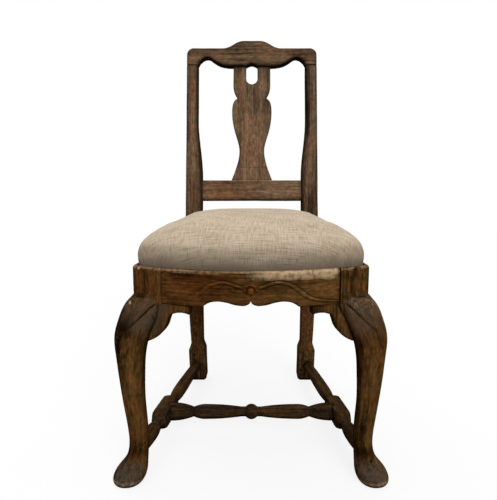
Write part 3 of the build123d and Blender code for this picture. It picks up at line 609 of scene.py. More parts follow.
def woven(name, pale, dark, soil_and_shade, thread, slub, soiled_and_shaded):
    """Plain-woven bast thread, dull and uneven: each thread a low round rib, thick slubs along the weft and
    fainter ones along the warp. The weave follows the piece's own map, which is in metres along the cloth.
    Soiled cloth is dull and grey along its lower edge, partly soil and partly painted shade on the front
    roll, with a painted shadow in the dark thread colour along its very foot."""
    made, put = new_material(name, pale)
    cloth = put("ShaderNodeUVMap", uv_map="cloth")

    def uneven(x, y, detail):
        drawn = put(VECTOR, cloth, (1 / x, 1 / y, 1), operation="MULTIPLY")
        return put(NOISE, drawn, named={"Scale": 1.0, "Detail": detail, "Roughness": 0.55})

    # threads drawn about three times coarser than life, so that the weave shows
    drift = uneven(50 * MM, 50 * MM, 2.0).outputs["Color"]
    drift = put(VECTOR, drift, (1.2, 1.2, 0), operation="MULTIPLY")
    count = put(VECTOR, cloth, (math.pi / thread, math.pi / thread, 1), drift, operation="MULTIPLY_ADD")
    count = put(SPLIT, count).outputs
    warp, weft = (put(MATH, count[axis], operation="SINE") for axis in "XY")
    rib = put(RANGE, put(MATH, warp, weft, operation="MULTIPLY"), -1, 1, 0, 1)
    weft_slub = uneven(slub, thread * 1.1, 3.0)
    warp_slub = uneven(thread * 1.1, slub * 0.7, 3.0)
    cloudy = uneven(80 * MM, 60 * MM, 3.0)
    tone = 0.0
    for texture, weight in ((weft_slub, 0.9), (warp_slub, 0.7), (rib, 0.07), (cloudy, 0.3)):
        tone = put(MATH, texture, weight, tone, operation="MULTIPLY_ADD")
    tone = put(RANGE, tone, 0.68, 1.1, 0, 1)
    tint = put(MIX, tone, dark, pale, data_type="RGBA")

    # thin dark threads here and there
    warp_thin = uneven(thread * 0.8, slub * 0.5, 1.0)
    weft_thin = uneven(slub * 0.6, thread * 0.8, 1.0)
    stray = put(MATH, warp_thin, weft_thin, operation="MAXIMUM")
    stray = put(RANGE, stray, 0.6, 0.72, 0, 0.6)
    if soiled_and_shaded:
        # the soil colour, laid on darker towards the bottom, is partly soil and partly painted shade on the
        # front roll
        height = put(SPLIT, put(COORDINATES).outputs["Object"]).outputs["Z"]
        low = put(RANGE, height, *SOILED_AND_SHADED, 0, 1)
        dull = put(RANGE, cloudy, 0.3, 0.6, 0.4, 0.8)
        dull = put(MATH, low, dull, operation="MULTIPLY")
        tint = put(MIX, dull, tint, soil_and_shade, data_type="RGBA")
        stray = put(MATH, stray, put(RANGE, low, 0, 1, 0.35, 1), operation="MULTIPLY")
        # painted shadow along the cushion's foot, in the dark thread colour
        painted_foot_shadow = put(RANGE, height, *LINEN_FOOT_SHADOW, 0, 0.5)
        stray = put(MATH, stray, painted_foot_shadow, operation="MAXIMUM")
    thin = tuple(0.3 * c for c in soil_and_shade)
    lift = put(MATH, weft_slub, warp_slub, operation="ADD")
    lift = put(MATH, rib, 0.2, lift, operation="MULTIPLY_ADD")
    surface = {
        "Base Color": put(MIX, stray, tint, thin, data_type="RGBA"),
        "Roughness": 0.92,
        "Specular IOR Level": 0.15,
        "Sheen Weight": 0.1,
        "Normal": put("ShaderNodeBump", named={"Strength": 0.6, "Distance": 1.3 * MM, "Height": lift}),
    }
    put(OUTPUT, put(PRINCIPLED, named=surface))
    return made


def blued_iron():
    """Blued iron of the tacks: dark, half polished, with specks of rust."""
    seat = bpy.context.scene.chair_seat
    made, put = new_material("blued_iron", seat.tack)
    place = put(COORDINATES).outputs["Object"]
    specks = put(NOISE, place, named={"Scale": 1 / (3 * MM), "Detail": 2.0})
    tint = put(MIX, specks, seat.tack, seat.rust, data_type="RGBA")
    put(OUTPUT, put(PRINCIPLED, named={"Base Color": tint, "Metallic": 0.85, "Roughness": 0.5}))
    return made


def bow_y(x, inset):
    """Y of the bowed front at x, drawn in by inset."""
    carving = bpy.context.scene.chair_carving
    radius = (carving.half_front**2 + carving.bow**2) / (2 * carving.bow)
    return RAIL_LOW.y + radius - np.sqrt((radius - inset) ** 2 - np.asarray(x) ** 2)


# the front rail's lower edge: distance from the middle and height above the lowest line, in millimetres
ARCHES = [(16, 3.5), (28, 4.9), (45, 9.3), (62, 11), (78, 7.6), (90, 0), (200, 0)]
CUSP_HALF, CUSP_FOOT = ARCHES[0]
CUSP_HEIGHT = 13
ARCH_END = 90

# the two carved lines of the front rail: distance from the middle and height, in millimetres
UPPER_LINE = [(8, 400), (20, 403), (35, 408.5), (53, 411), (72, 407), (87, 399), (98, 390.4), (110, 381)]
UPPER_LINE += [(132, 373), (168, 368)]
LOWER_LINE = [(8, 391), (24, 396.4), (35, 400.6), (56, 403.3), (75, 396.5), (87, 387), (97, 379), (113, 371)]
LOWER_LINE += [(140, 366), (168, 364)]

# the shell in the middle of the front rail, in millimetres: a round boss under an arched rib
SHELL_MIDDLE, SHELL_REACH = 391, 15
BOSS_MIDDLE, BOSS_RADIUS, BOSS_RELIEF = 390.5, 6.6, 2.6
RIB_MIDDLE, RIB_RADIUS, RIB_HALF, RIB_RELIEF = 392.5, 11, 2.6, 2
BOSS_FOOT, RIB_FOOT = 386, 390
BOSS_MOAT, RIB_MOAT, MOAT_HALF = 1.3, 1.6, 1.3
GROUND_DEPTH = 1.3
FAR_OFF = 99

# round the two lines, in millimetres: the coves above and under them, the bead between them, where they
# start beside the shell and where they are rubbed faint on the left
COVE_ABOVE, COVE_UNDER = 5, 6
BEAD_RELIEF = 0.5
LINES_START = (11, 16)
LINES_RUBBED = (-120, -50)


def scallop(x):
    """Height of the rail's scalloped lower edge above its lowest line."""
    x = np.abs(np.asarray(x, float)) / MM
    arches = smooth_line(ARCHES, x)
    cusp = CUSP_HEIGHT - (CUSP_HEIGHT - CUSP_FOOT) * dome(1 - x / CUSP_HALF)
    return np.where(x < CUSP_HALF, cusp, np.where(x > ARCH_END, 0, arches)) * MM


def off_line(points, across, z):
    """Height above a carved line, measured square to it."""
    start, end = points[0][0], points[-1][0]
    line = smooth_line(points, np.clip(across, start, end))
    slope = smooth_line(points, np.clip(across + 1, start, end)) - line
    return (z - line) / np.sqrt(1 + slope**2)


def rail_lines(x, z):
    """The two carved lines with a bead between them, as their depth, the painted shade in them and the bead.
    """
    carving = bpy.context.scene.chair_carving
    wide = carving.groove_width / MM
    above, under = (off_line(points, np.abs(x), z) for points in (UPPER_LINE, LOWER_LINE))
    cut = np.maximum(ramp(np.abs(above), wide, 0), 0.8 * ramp(np.abs(under), wide, 0))
    cove = 0.45 * np.where(above > 0, np.exp(-above / COVE_ABOVE), 0)
    cove += 0.5 * np.where(under < 0, np.exp(under / COVE_UNDER), 0)
    bead = dome((above + under) / np.maximum(under - above, 1)) * (above < 0) * (under > 0)
    depth = carving.groove * np.maximum(cut, cove) - BEAD_RELIEF * MM * bead
    dark = np.maximum(0.8 * bell(above, 0, 0.55 * wide), 0.7 * bell(under, 0, 0.5 * wide))
    fade = ramp(np.abs(x), *LINES_START) * np.maximum(0.3, ramp(x, *LINES_RUBBED))
    return depth * fade, dark * fade, bead * fade


def rail_carving(x, z):
    """The carving in the rail's face, as its depth, the painted shade in its lines and moats, and the
    painted highlight on its bead and shell.
    """
    x, z = x / MM, z / MM
    depth, dark, bead = rail_lines(x, z)
    boss = np.hypot(x, (z - BOSS_MIDDLE) * 0.9)
    rib = np.where(z > RIB_FOOT, np.abs(np.hypot(x, z - RIB_MIDDLE) - RIB_RADIUS), FAR_OFF)
    shell = BOSS_RELIEF * dome(boss / BOSS_RADIUS)
    shell = np.maximum(shell, RIB_RELIEF * np.clip(1 - (rib / RIB_HALF) ** 2, 0, 1))
    near = np.exp(-((np.hypot(x, z - SHELL_MIDDLE) / SHELL_REACH) ** 6))
    moat = bell(boss, BOSS_RADIUS + BOSS_MOAT, MOAT_HALF) * (z > BOSS_FOOT)
    moat += bell(rib, RIB_HALF + RIB_MOAT, MOAT_HALF) * near
    depth += near * (GROUND_DEPTH - shell) * MM
    # painted shade in the moats round the boss and the rib
    dark = np.maximum(dark, 0.6 * np.clip(moat, 0, 1))
    # painted highlight: the bead and the raised shell made lighter
    return depth, dark, 0.2 * bead + 0.15 * near * np.clip(shell / 2, 0, 1)


# soft patches of the timber: x, z, half width and half height in millimetres, how much lighter and redder;
# most give the wood's own tone, and the rows marked below are painted light and shade
PATCHES = {
    "rear_leg_left": [
        # painted light: the rear leg lightened below the seat, where the seat shades it
        (-157, 230, 30, 130, 0.9, 0.6),
        (-162, 720, 14, 120, 0.3, 0.2),
        (-170, 830, 12, 60, -0.08, 0),
        (-160, 550, 14, 40, 0, 0.4),
    ],
    "rear_leg_right": [
        # painted light: the rear leg lightened below the seat, where the seat shades it
        (157, 230, 30, 130, 0.9, 0.6),
        (153, 800, 8, 90, -0.12, 0),
        (167, 690, 10, 90, 0.05, 0),
        (165, 520, 20, 60, -0.15, 0),
    ],
    "crest_rail": [
        (-165, 898, 20, 20, -0.1, 0),
        (-110, 923, 40, 20, 0, 0.45),
        (10, 930, 45, 30, -0.1, 0.1),
        (38, 926, 25, 14, 0.1, 0),
        (133, 926, 45, 26, -0.3, 0),
    ],
    "splat": [
        (4, 800, 16, 40, -0.12, 0),
        (-30, 826, 16, 30, 0.2, 0.4),
        (30, 830, 14, 34, 0.4, 0),
        (-30, 840, 14, 34, 0.25, 0),
        (0, 720, 50, 60, 0.12, 0),
        (-2, 671, 34, 55, 0.3, 0.4),
        (1, 604, 50, 16, 0.05, 0),
    ],
    "lower_back_rail": [
        (-73, 550, 70, 60, 0.28, 0.5),
        (77, 550, 60, 60, 0.25, 0),
    ],
    "front_rail": [
        (-100, 395, 70, 40, -0.02, 0.85),
        (0, 390, 15, 16, 0.22, 0.7),
        (95, 390, 60, 30, 0.3, 0),
        (150, 400, 30, 30, 0.3, 0.1),
    ],
    "front_leg_left": [
        # painted shade down the calf's left side, away from the light, and a painted highlight strip beside
        # it
        (-254, 230, 9, 75, -0.3, 0),
        (-226, 215, 9, 70, 0.34, 0),
        (-240, 322, 26, 32, -0.34, 0.2),
        (-232, 285, 20, 12, 0.1, 0.2),
        (-221, 70, 30, 24, -0.45, 0),
        (-248, 14, 40, 25, -0.3, 0),
        (-228, 120, 10, 40, 0.1, 0),
        (-200, 395, 30, 30, 0, 0.5),
        (-186, 405, 6, 8, 0.3, 0),
    ],
    "front_leg_right": [
        # painted shade down the calf's left side, away from the light, and a painted highlight strip beside
        # it
        (208, 216, 8, 75, -0.3, 0),
        (236, 225, 14, 70, 0.16, 0),
        (229, 300, 25, 26, -0.16, 0.1),
        (216, 100, 7, 36, -0.2, 0),
        (234, 105, 8, 36, 0.12, 0),
        (228, 62, 30, 16, -0.35, 0),
        (250, 16, 40, 24, -0.15, 0),
    ],
    "braces": [
        (-175, 335, 40, 40, 0.2, 0.1),
        (175, 335, 40, 40, 0.16, 0),
    ],
}


class CHAIR_OT_timber(bpy.types.Operator):
    """Stain the rear rail and the pegs, and leave the loose seat's frame bare"""

    bl_idname = "chair.timber"
    bl_label = "Finish Timber"

    def execute(self, context):
        cross = stained_oak("stained_oak_cross", "X", depth=0.05, worked_piece=False)
        for node in ("rear_rail", "pegs_side_rails", "pegs_rear_rail", "pegs_crest"):
            dress(NODES[node].data, cross)
        pine = bare_pine()
        for node in SEAT_FRAME:
            dress(NODES[node].data, pine)
        return {"FINISHED"}


# where the knee's face ends on a front bracket: height and distance from the middle, in millimetres
BRACKET_GAP = [(291, 199), (307, 192), (323, 184), (342, 174), (357, 167)]
LEFT_GAP_SHIFT = 14
GAP_HALF = 2.6
GREY_EDGE = (0, 4)
GREY_START = (295, 315)


class CHAIR_OT_braces(bpy.types.Operator):
    """Plane the side rails, turn the three stretchers and saw the four knee brackets"""

    bl_idname = "chair.braces"
    bl_label = "Work Rails, Stretchers and Brackets"

    def execute(self, context):
        carving = context.scene.chair_carving
        level = stained_oak("stained_oak_medial_stretcher", "X", depth=0.28)
        long = stained_oak("stained_oak_side_stretcher", "Y", depth=0.12)
        sawn = stained_oak("stained_oak_bracket", "Z", corner=0.25)
        for node, oak, fibres in (
            ("side_rail_left", long, "Y"),
            ("side_rail_right", long, "Y"),
            ("medial_stretcher", level, "X"),
            ("side_stretcher_left", long, "Y"),
            ("side_stretcher_right", long, "Y"),
            ("knee_bracket_front_left", sawn, "Z"),
            ("knee_bracket_front_right", sawn, "Z"),
            ("knee_bracket_side_left", sawn, "Z"),
            ("knee_bracket_side_right", sawn, "Z"),
        ):
            mesh = worked(node, carving.voxel if "rail" in node else carving.fine_voxel)
            marks = self.marks(node, mesh, carving)
            store_marks(mesh, fibres, PATCHES["braces"], follow="bracket" not in node, **marks)
            new_piece(node + "_worked", mesh, oak, TIMBER, "stained_wood", node)
        return {"FINISHED"}

    @staticmethod
    def marks(node, mesh, carving):
        """Painted shade on the edges or in the hollows, a dark gap beside the right knee, and the grey that
        runs from the knees on to the front brackets.
        """
        x, _, z = vertex_array(mesh).T / MM
        if "stretcher" in node:
            # painted shade in the hollows between the stretchers' turnings
            return {"hollow": np.clip(-rounded(mesh) - 0.1, 0, 0.8), "scuff": np.full(len(x), 0.25)}
        dark = 0.8 * edge_shade(mesh, carving.dark_edge / 2)
        scuff = np.zeros(len(x))
        if "front" in node:
            past = np.abs(x) - np.interp(z, *np.transpose(BRACKET_GAP))
            if "left" in node:
                past += LEFT_GAP_SHIFT
            else:
                dark = np.maximum(dark, bell(past, 0, GAP_HALF))
            scuff = 0.8 * ramp(past, *GREY_EDGE) * ramp(z, *GREY_START)
        return {"hollow": dark, "scuff": scuff}


# places on the back in millimetres; a pair is where a mark starts and where it is full
SPLAT_LINE, SPLAT_LINE_HALF = 611, 1.8
LOWER_RAIL_WORN_HALF = 56
POST_DARK = (380, 440)
POST_PAINTED_LIGHT = (370, 330)
POST_STRIP = (12.15, 3.15)


class CHAIR_OT_back(bpy.types.Operator):
    """Work the two posts, the crest rail, the splat and the lower rail of the back"""

    bl_idname = "chair.back"
    bl_label = "Work Back"

    def execute(self, context):
        carving = context.scene.chair_carving
        upright = stained_oak("stained_oak_upright", "Z")
        level = stained_oak("stained_oak_level", "X")
        for node, oak, fibres in (
            ("rear_leg_left", upright, "Z"),
            ("rear_leg_right", upright, "Z"),
            ("crest_rail", level, "X"),
            ("splat", upright, "Z"),
            ("lower_back_rail", level, "X"),
        ):
            mesh = worked(node, carving.voxel)
            store_marks(mesh, fibres, PATCHES[node], **self.marks(node, mesh, carving))
            new_piece(node + "_worked", mesh, oak, TIMBER, "stained_wood", node)
        return {"FINISHED"}

    def marks(self, node, mesh, carving):
        """Painted shade along the edges and in a strip down each post's inner edge, the dark line across the
        splat's foot, a pale line along the lower rail's top, and painted light on the rear legs below the
        seat.
        """
        x, _, z = vertex_array(mesh).T / MM
        wear = np.zeros(len(x))
        if node == "splat":
            dark = 0.7 * edge_shade(mesh, carving.dark_edge / 2)
            return {"hollow": np.maximum(dark, 0.4 * bell(z, SPLAT_LINE, SPLAT_LINE_HALF)), "wear": wear}
        dark = 0.75 * edge_shade(mesh, carving.dark_edge)
        if node == "lower_back_rail":
            wear = 0.75 * ramp(z, z.max() - 3, z.max() - 1) * (np.abs(x) < LOWER_RAIL_WORN_HALF)
        if "leg" in node:
            dark = np.maximum(dark, 0.75 * self.inner_strip(np.abs(x), z))
            dark *= np.maximum(0.2, ramp(z, *POST_DARK))
            # painted light: below the seat, where the seat shades them, the fronts of the rear legs are
            # lightened with the worn-wood colours
            wear = 0.24 * ramp(z, *POST_PAINTED_LIGHT) * ramp(-normal_array(mesh)[:, 1], 0, 1)
        return {"hollow": dark, "wear": wear}

    @staticmethod
    def inner_strip(out, z):
        """Painted shade in a strip along a post's inner edge, about a finger wide."""
        step = 10
        slot = np.round(z / step).astype(int)
        edge = np.full(slot.max() + 1, np.inf)
        np.minimum.at(edge, slot, out)
        known = np.flatnonzero(np.isfinite(edge))
        return ramp(out - np.interp(z / step, known, edge[known]), *POST_STRIP)


RAIL_STATIONS, RAIL_FACE_STEPS, RAIL_LIP_STEPS = 421, 92, 7

# the rail's worn upper edge, in millimetres
WORN_BAND, WORN_WAVES, WORN_FADE = 20.5, 5, 12
WORN_START = (-30, 40)
WAVES_PER_MM = 0.038

# distances in millimetres from the corner blocks and the top at which the rail's marks start and are full
RAIL_JOINT, WORN_END, RAIL_LIP_WORN = (2.4, 1.2), (2, 7), (8, 4)


class CHAIR_OT_front_rail(bpy.types.Operator):
    """Carve the bowed front rail with its scallop, its two lines and its shell, and wear its upper edge"""

    bl_idname = "chair.front_rail"
    bl_label = "Carve Front Rail"

    def execute(self, context):
        carving = context.scene.chair_carving
        points, inward, carved, ridges, faces = [], [], [], [], []
        for x in np.linspace(-BLOCK_X, BLOCK_X, RAIL_STATIONS):
            loop, dark, ridge = self.section(x, carving)
            points += [(x, float(bow_y(x, depth)), high) for depth, high in loop]
            inward += [depth for depth, _ in loop]
            carved += [*dark]
            ridges += [*ridge]
        size = len(loop)
        for start, j in product(range(0, len(points) - size, size), range(size)):
            a, b = start + j, start + (j + 1) % size
            faces.append((a, a + size, b + size, b))
        faces += [tuple(range(size)), tuple(reversed(range(len(points) - size, len(points))))]
        mesh = solid_mesh("front_rail_carved", points, faces)
        mesh.shade_smooth()
        mesh.set_sharp_from_angle(angle=math.radians(50))
        x, _, z = np.array(points).T / MM
        wear = self.wear(x, z) * (np.array(inward) < carving.lip + MM)
        block = BLOCK_X / MM
        joint = ramp(block - np.abs(x), *RAIL_JOINT) * np.where(x > 0, 1, 0.3)
        # the carving's painted shade, and the dark joints with the corner blocks
        hollow = np.maximum(carved, joint)
        # the painted highlights on the bead and the shell go into the shade mark
        store_marks(mesh, "X", PATCHES["front_rail"], shade=np.array(ridges), hollow=hollow, wear=wear)
        oak = stained_oak("stained_oak_carved_rail", "X")
        new_piece("front_rail_carved", mesh, oak, TIMBER, "stained_wood", "front_rail")
        return {"FINISHED"}

    @staticmethod
    def section(x, carving):
        """The rail's outline at x, inwards from the bow and up, with the painted shade and the painted
        highlights of its carving.
        """
        top = RAIL_HIGH.z
        ledge = top - carving.rebate
        base = RAIL_LOW.z + float(scallop(x))
        low = base + carving.toe
        z = low + np.linspace(0, 1, RAIL_FACE_STEPS) * (top - carving.lip_round - low)
        depth, dark, ridge = rail_carving(np.full_like(z, x), z)
        loop = list(zip(depth, z))
        for angle in np.linspace(0, math.pi / 2, RAIL_LIP_STEPS)[1:]:
            inward = carving.lip_round * (1 - math.cos(angle))
            loop.append((inward, top - carving.lip_round * (1 - math.sin(angle))))
        loop += [(carving.lip, top), (carving.lip, ledge), (carving.thickness, ledge)]
        loop += [(carving.thickness, base), (carving.toe, base)]
        plain = np.zeros(len(loop) - len(z))
        return loop, np.append(dark, plain), np.append(ridge, plain)

    @staticmethod
    def wear(x, z):
        """The upper edge, worn bare in a wavy band on the right and less on the left."""
        top, block = RAIL_HIGH.z / MM, BLOCK_X / MM
        wavy = np.array([noise.noise(Vector((place * WAVES_PER_MM, 3, 0))) for place in x])
        low = top - WORN_BAND + WORN_WAVES * wavy
        right = ramp(x, *WORN_START) * ramp(block - x, *WORN_END)
        return np.maximum(ramp(z, low, low + WORN_FADE) * right, 0.36 * ramp(top - z, *RAIL_LIP_WORN))


# carving of the front legs, in millimetres, drawn on the right: x, y and z of a groove and of two gouges
KNEE_GROOVE = [(178, -250, 361.5), (190.6, -254, 353), (201, -258.7, 343), (215.6, -263.4, 329)]
KNEE_GROOVE += [(233.8, -267.7, 313), (251.4, -267, 295)]
KNEE_GOUGES = [[(179, -252, 343), (174, -251, 332.5)], [(185, -257, 338.5), (179, -250, 322)]]

# what sets the two legs apart: how dark the joint with the rail and a crack beside it are, how scuffed and
# how worn the knee's shoulder is, where its grey face ends, its gouges, and x and z of holes and of painted
# glints, pale spots that stand for highlights
LEGS = {
    "front_leg_left": {
        "side": -1,
        "joint": 0.3,
        "crack": 0,
        "scuff": 0.5,
        "wear": 0,
        "face_end": 236,
        "gouges": KNEE_GOUGES,
        "holes": [],
        "painted_glints": [(214, 425), (229, 362)],
    },
    "front_leg_right": {
        "side": 1,
        "joint": 1,
        "crack": 0.8,
        "scuff": 0.8,
        "wear": 0.2,
        "face_end": 250,
        "gouges": [],
        "holes": [(236, 44), (199, 425)],
        "painted_glints": [],
    },
}

# heights and widths on a front leg in millimetres; a pair is where a mark starts and where it is full
KNEE_GROOVE_HALF, GOUGE_HALF = 1.9, 1.7
GROOVE_FADE = (285, 345)
FOOT_GREY = (48, 32)
FACE_LOW, FACE_HIGH, FACE_FADE = (300, 320), (359, 353), 24
SHOULDER_LOW, SHOULDER_TOP = (318, 338), 400
CRACK_X, CRACK_HALF, CRACK_FOOT = 174, 1.3, 357
ANKLE_HIGH, ANKLE_HALF = 58, 9
TOE_HIGH, TOE_HALF = 9, 6
HOLE_RADIUS, GLINT_RADIUS = 3, 2.3
LEG_JOINT, LEG_LIP_WORN = (2.2, 1), (6, 3)
BLOCK_FRONT, KNEE_FRONT = -200, -220
LOOKS_UP_AHEAD = (0, -0.75, 0.66)


class CHAIR_OT_front_legs(bpy.types.Operator):
    """Carve the two front legs: grooved knees, scuffed pad feet and the ripple of the carver's tools"""

    bl_idname = "chair.front_legs"
    bl_label = "Carve Front Legs"

    def execute(self, context):
        carving = context.scene.chair_carving
        oak = stained_oak("stained_oak_carved_leg", "Z", depth=-0.08)
        for node, leg in LEGS.items():
            mesh = worked(node, carving.voxel)
            flank = vertex_array(mesh) * (leg["side"], 1, 1) / MM
            cut = bell(self.distance(flank, KNEE_GROOVE), 0, KNEE_GROOVE_HALF)
            cut *= np.maximum(0.35, ramp(flank[:, 2], *GROOVE_FADE))
            for stroke in leg["gouges"]:
                cut = np.maximum(cut, 0.7 * bell(self.distance(flank, stroke), 0, GOUGE_HALF))
            push(mesh, -carving.knee_groove * cut)
            store_marks(mesh, "Z", PATCHES[node], **self.marks(mesh, flank.T, cut, leg))
            new_piece(node + "_carved", mesh, oak, TIMBER, "stained_wood", node)
        return {"FINISHED"}

    @staticmethod
    def distance(co, line):
        """Distance of each point to a broken line."""
        best = np.full(len(co), np.inf)
        for a, b in zip(np.array(line[:-1], float), np.array(line[1:], float)):
            way = b - a
            t = np.clip(((co - a) @ way) / (way @ way), 0, 1)
            best = np.minimum(best, np.linalg.norm(co - a - t[:, None] * way, axis=1))
        return best

    @staticmethod
    def marks(mesh, flank, cut, leg):
        """Grey scuffs on foot, knee and shoulder, painted shade in the grooves and creases, a darker ring
        round the ankle, dark joints, a crack and holes, worn edges, and painted glints.
        """
        x, y, z = flank
        block, top = BLOCK_X / MM, RAIL_HIGH.z / MM
        normals = normal_array(mesh)
        foot = ramp(z, *FOOT_GREY) * ramp(normals @ np.array(LOOKS_UP_AHEAD), 0.45, 0.8)
        shoulder = ramp(normals[:, 2], 0, 0.5) * ramp(z, *SHOULDER_LOW) * (z < SHOULDER_TOP)
        face = ramp(z, *FACE_LOW) * ramp(z, *FACE_HIGH)
        face *= ramp(x, leg["face_end"], leg["face_end"] - FACE_FADE)
        scuff = [foot, 0.85 * face, leg["scuff"] * shoulder]
        crack = leg["crack"] * bell(x, CRACK_X, CRACK_HALF)
        crack = np.maximum(crack, leg["joint"] * ramp(x - block, *LEG_JOINT))
        crack *= (y < BLOCK_FRONT) * (z > CRACK_FOOT)
        # painted shade in the carved grooves and the concave creases, a darker ring round the ankle, and the
        # dark crack and joint
        hollow = [cut, ramp(-rounded(mesh), 0.3, 1.3), 0.35 * bell(z, ANKLE_HIGH, ANKLE_HALF), crack]
        lip = ramp(top - z, *LEG_LIP_WORN)
        wear = [0.45 * bell(z, TOE_HIGH, TOE_HALF), 0.36 * lip, leg["wear"] * shoulder]
        front = y < KNEE_FRONT
        for across, high in leg["holes"]:
            hollow.append(front * np.exp(-((np.hypot(x - across, z - high) / HOLE_RADIUS) ** 4)))
        # painted glints: small pale spots, in the worn-wood colours, on the left block's top and knee
        for across, high in leg["painted_glints"]:
            wear.append(1.3 * front * bell(np.hypot(x - across, z - high), 0, GLINT_RADIUS))
        marks = {"scuff": scuff, "hollow": hollow, "wear": wear}
        return {key: np.max(parts, axis=0) for key, parts in marks.items()}


def cloth_map(mesh):
    """Map the cloth in metres: flat over the top and straight on down the front and the sides."""
    co = vertex_array(mesh)
    middle = (COVER_LOW + COVER_HIGH) / 2
    reach = (COVER_HIGH - COVER_LOW) / 2
    drop = np.clip(COVER_HIGH.z - co[:, 2], 0, None)
    side = (co[:, 0] - middle.x) / reach.x
    ahead = (co[:, 1] - middle.y) / reach.y
    lean = side**8 / (side**8 + ahead**8 + 1e-6)
    u = co[:, 0] + np.sign(side) * drop * lean
    v = co[:, 1] + np.sign(ahead) * drop * (1 - lean)
    corner = read_out(mesh.loops, "vertex_index", 1, np.int32).ravel()
    layer = mesh.uv_layers.new(name="cloth")
    layer.data.foreach_set("uv", np.stack([u, v], 1)[corner].astype(np.float32).ravel())


def cut_cover(height, kind, clear_above=False):
    """The linen cover's surface cut through at a height, and the cut's vertices or edges."""
    shell = welded("seat_cover")
    every = shell.verts[:] + shell.edges[:] + shell.faces[:]
    plane = {"plane_co": (0, 0, height), "plane_no": (0, 0, 1)}
    cut = bmesh.ops.bisect_plane(shell, geom=every, clear_outer=clear_above, **plane)
    return shell, [part for part in cut["geom_cut"] if isinstance(part, kind)]


CLOTH_SETTINGS = {
    "quality": 6,
    "mass": 0.35,
    "tension_stiffness": 20,
    "compression_stiffness": 20,
    "bending_stiffness": 2,
    "use_pressure": True,
    "vertex_group_mass": "held",
}
CLOTH_FRAMES = 20

# heights over the stuffing's foot to which the cover is held, and over which a quick pad swells
HELD, QUICK_RISE = 5 * MM, 30 * MM

# how far the turned linen reaches up beside the seat frame
TURNED_RISE = 2 * MM


class CHAIR_OT_cushion(bpy.types.Operator):
    """Stuff the loose seat and pull its linen cover over it"""

    bl_idname = "chair.cushion"
    bl_label = "Upholster Seat"

    def execute(self, context):
        seat = context.scene.chair_seat
        inside = self.seat_hollow()
        mesh = remeshed(("seat_cover", inside), seat.voxel)
        relax(mesh, 6)
        pad = new_object("pad", mesh)
        self.swell(pad, seat)
        finer = pad.modifiers.new("Finer", "SUBSURF")
        finer.levels = finer.render_levels = 1
        block = new_object("seat_hollow", inside)
        hollow = pad.modifiers.new("Hollow", "BOOLEAN")
        hollow.operation = "DIFFERENCE"
        hollow.object = block
        mesh = evaluated_mesh(pad)
        for helper in (pad, block):
            bpy.data.objects.remove(helper)
        self.turned_edge(mesh)
        cloth_map(mesh)
        mesh.shade_smooth()
        weave = (seat.thread, seat.slub)
        linen = woven("slubby_linen", seat.flax, seat.tow, seat.soil_and_shade, *weave, soiled_and_shaded=True)
        cushion = new_piece("linen_cushion", mesh, linen, SEAT, "linen", "seat_cover", "seat_stuffing")
        return {"FINISHED"}

    @staticmethod
    def swell(pad, seat):
        """Let the stuffing press the cover out, and hold it at its lower edge."""
        scene = bpy.context.scene
        start = vertex_array(pad.data)
        held = pad.vertex_groups.new(name="held")
        low = np.flatnonzero(start[:, 2] < STUFFING_LOW.z + HELD)
        held.add(low.tolist(), 1.0, "REPLACE")
        cloth = pad.modifiers.new("Cloth", "CLOTH")
        for key, value in CLOTH_SETTINGS.items():
            setattr(cloth.settings, key, value)
        cloth.settings.uniform_pressure_force = seat.pressure
        cloth.settings.effector_weights.gravity = 0
        for number in range(CLOTH_FRAMES):
            scene.frame_set(number + 1)
        mesh = evaluated_mesh(pad)
        pad.modifiers.clear()
        scene.frame_set(1)
        move = vertex_array(mesh) - start
        far = np.linalg.norm(move, axis=1)
        move *= (np.minimum(far, seat.swell) / np.maximum(far, 1e-9))[:, None]
        set_vertices(mesh, start + move)
        pad.data = mesh

    @staticmethod
    def seat_hollow():
        """The room inside the cover for the seat frame, the webbing and the hessian."""
        shell, cut = cut_cover((FRAME_LOW.z + FRAME_HIGH.z) / 2, bmesh.types.BMVert)
        rim = set(cut)
        loops = []
        while rim:
            ahead = [min(rim, key=lambda vertex: tuple(vertex.co))]
            loop = []
            while ahead:
                loop.append(ahead[0])
                rim.discard(ahead[0])
                ahead = [edge.other_vert(loop[-1]) for edge in loop[-1].link_edges]
                ahead = [vertex for vertex in ahead if vertex in rim]
            loops.append([tuple(vertex.co) for vertex in loop])
        shell.free()
        inner = min(loops, key=lambda loop: max(point[0] for point in loop))
        size = len(inner)
        points = [(x, y, high) for high in (COVER_LOW.z, STUFFING_LOW.z) for x, y, _ in inner]
        faces = [tuple(range(size)), tuple(range(size, 2 * size))]
        for i in range(size):
            j = (i + 1) % size
            faces.append((i, j, j + size, i + size))
        return solid_mesh("seat_hollow", points, faces)

    @staticmethod
    def turned_edge(mesh):
        """Add the linen turned under the seat frame."""
        shell, rim = cut_cover(FRAME_LOW.z + TURNED_RISE, bmesh.types.BMEdge, clear_above=True)
        bmesh.ops.bridge_loops(shell, edges=rim)
        bmesh.ops.recalc_face_normals(shell, faces=shell.faces)
        below = as_mesh(shell, "turned_edge")
        whole = bmesh.new()
        for part in (mesh, below):
            whole.from_mesh(part)
        whole.to_mesh(mesh)
        whole.free()
        bpy.data.meshes.remove(below)


STRAP_STEPS = 61
STRAP_CLEARANCE = 0.1 * MM

# how much shorter a strap is for the seat's taper, for its corners and for its bow
STRAP_TAPER, STRAP_CORNER, STRAP_BOW = 14 * MM, 4 * MM, 12 * MM

# the line of tacks: half its length in front and behind, how far the linen's front lies inside the bow, and
# how much farther in the rear tacks stand
TACK_LINE_STEPS = 33
TACK_LINE_FRONT, TACK_LINE_BACK = 190 * MM, 152 * MM
FRONT_INSET, REAR_INSET = 11 * MM, 3 * MM


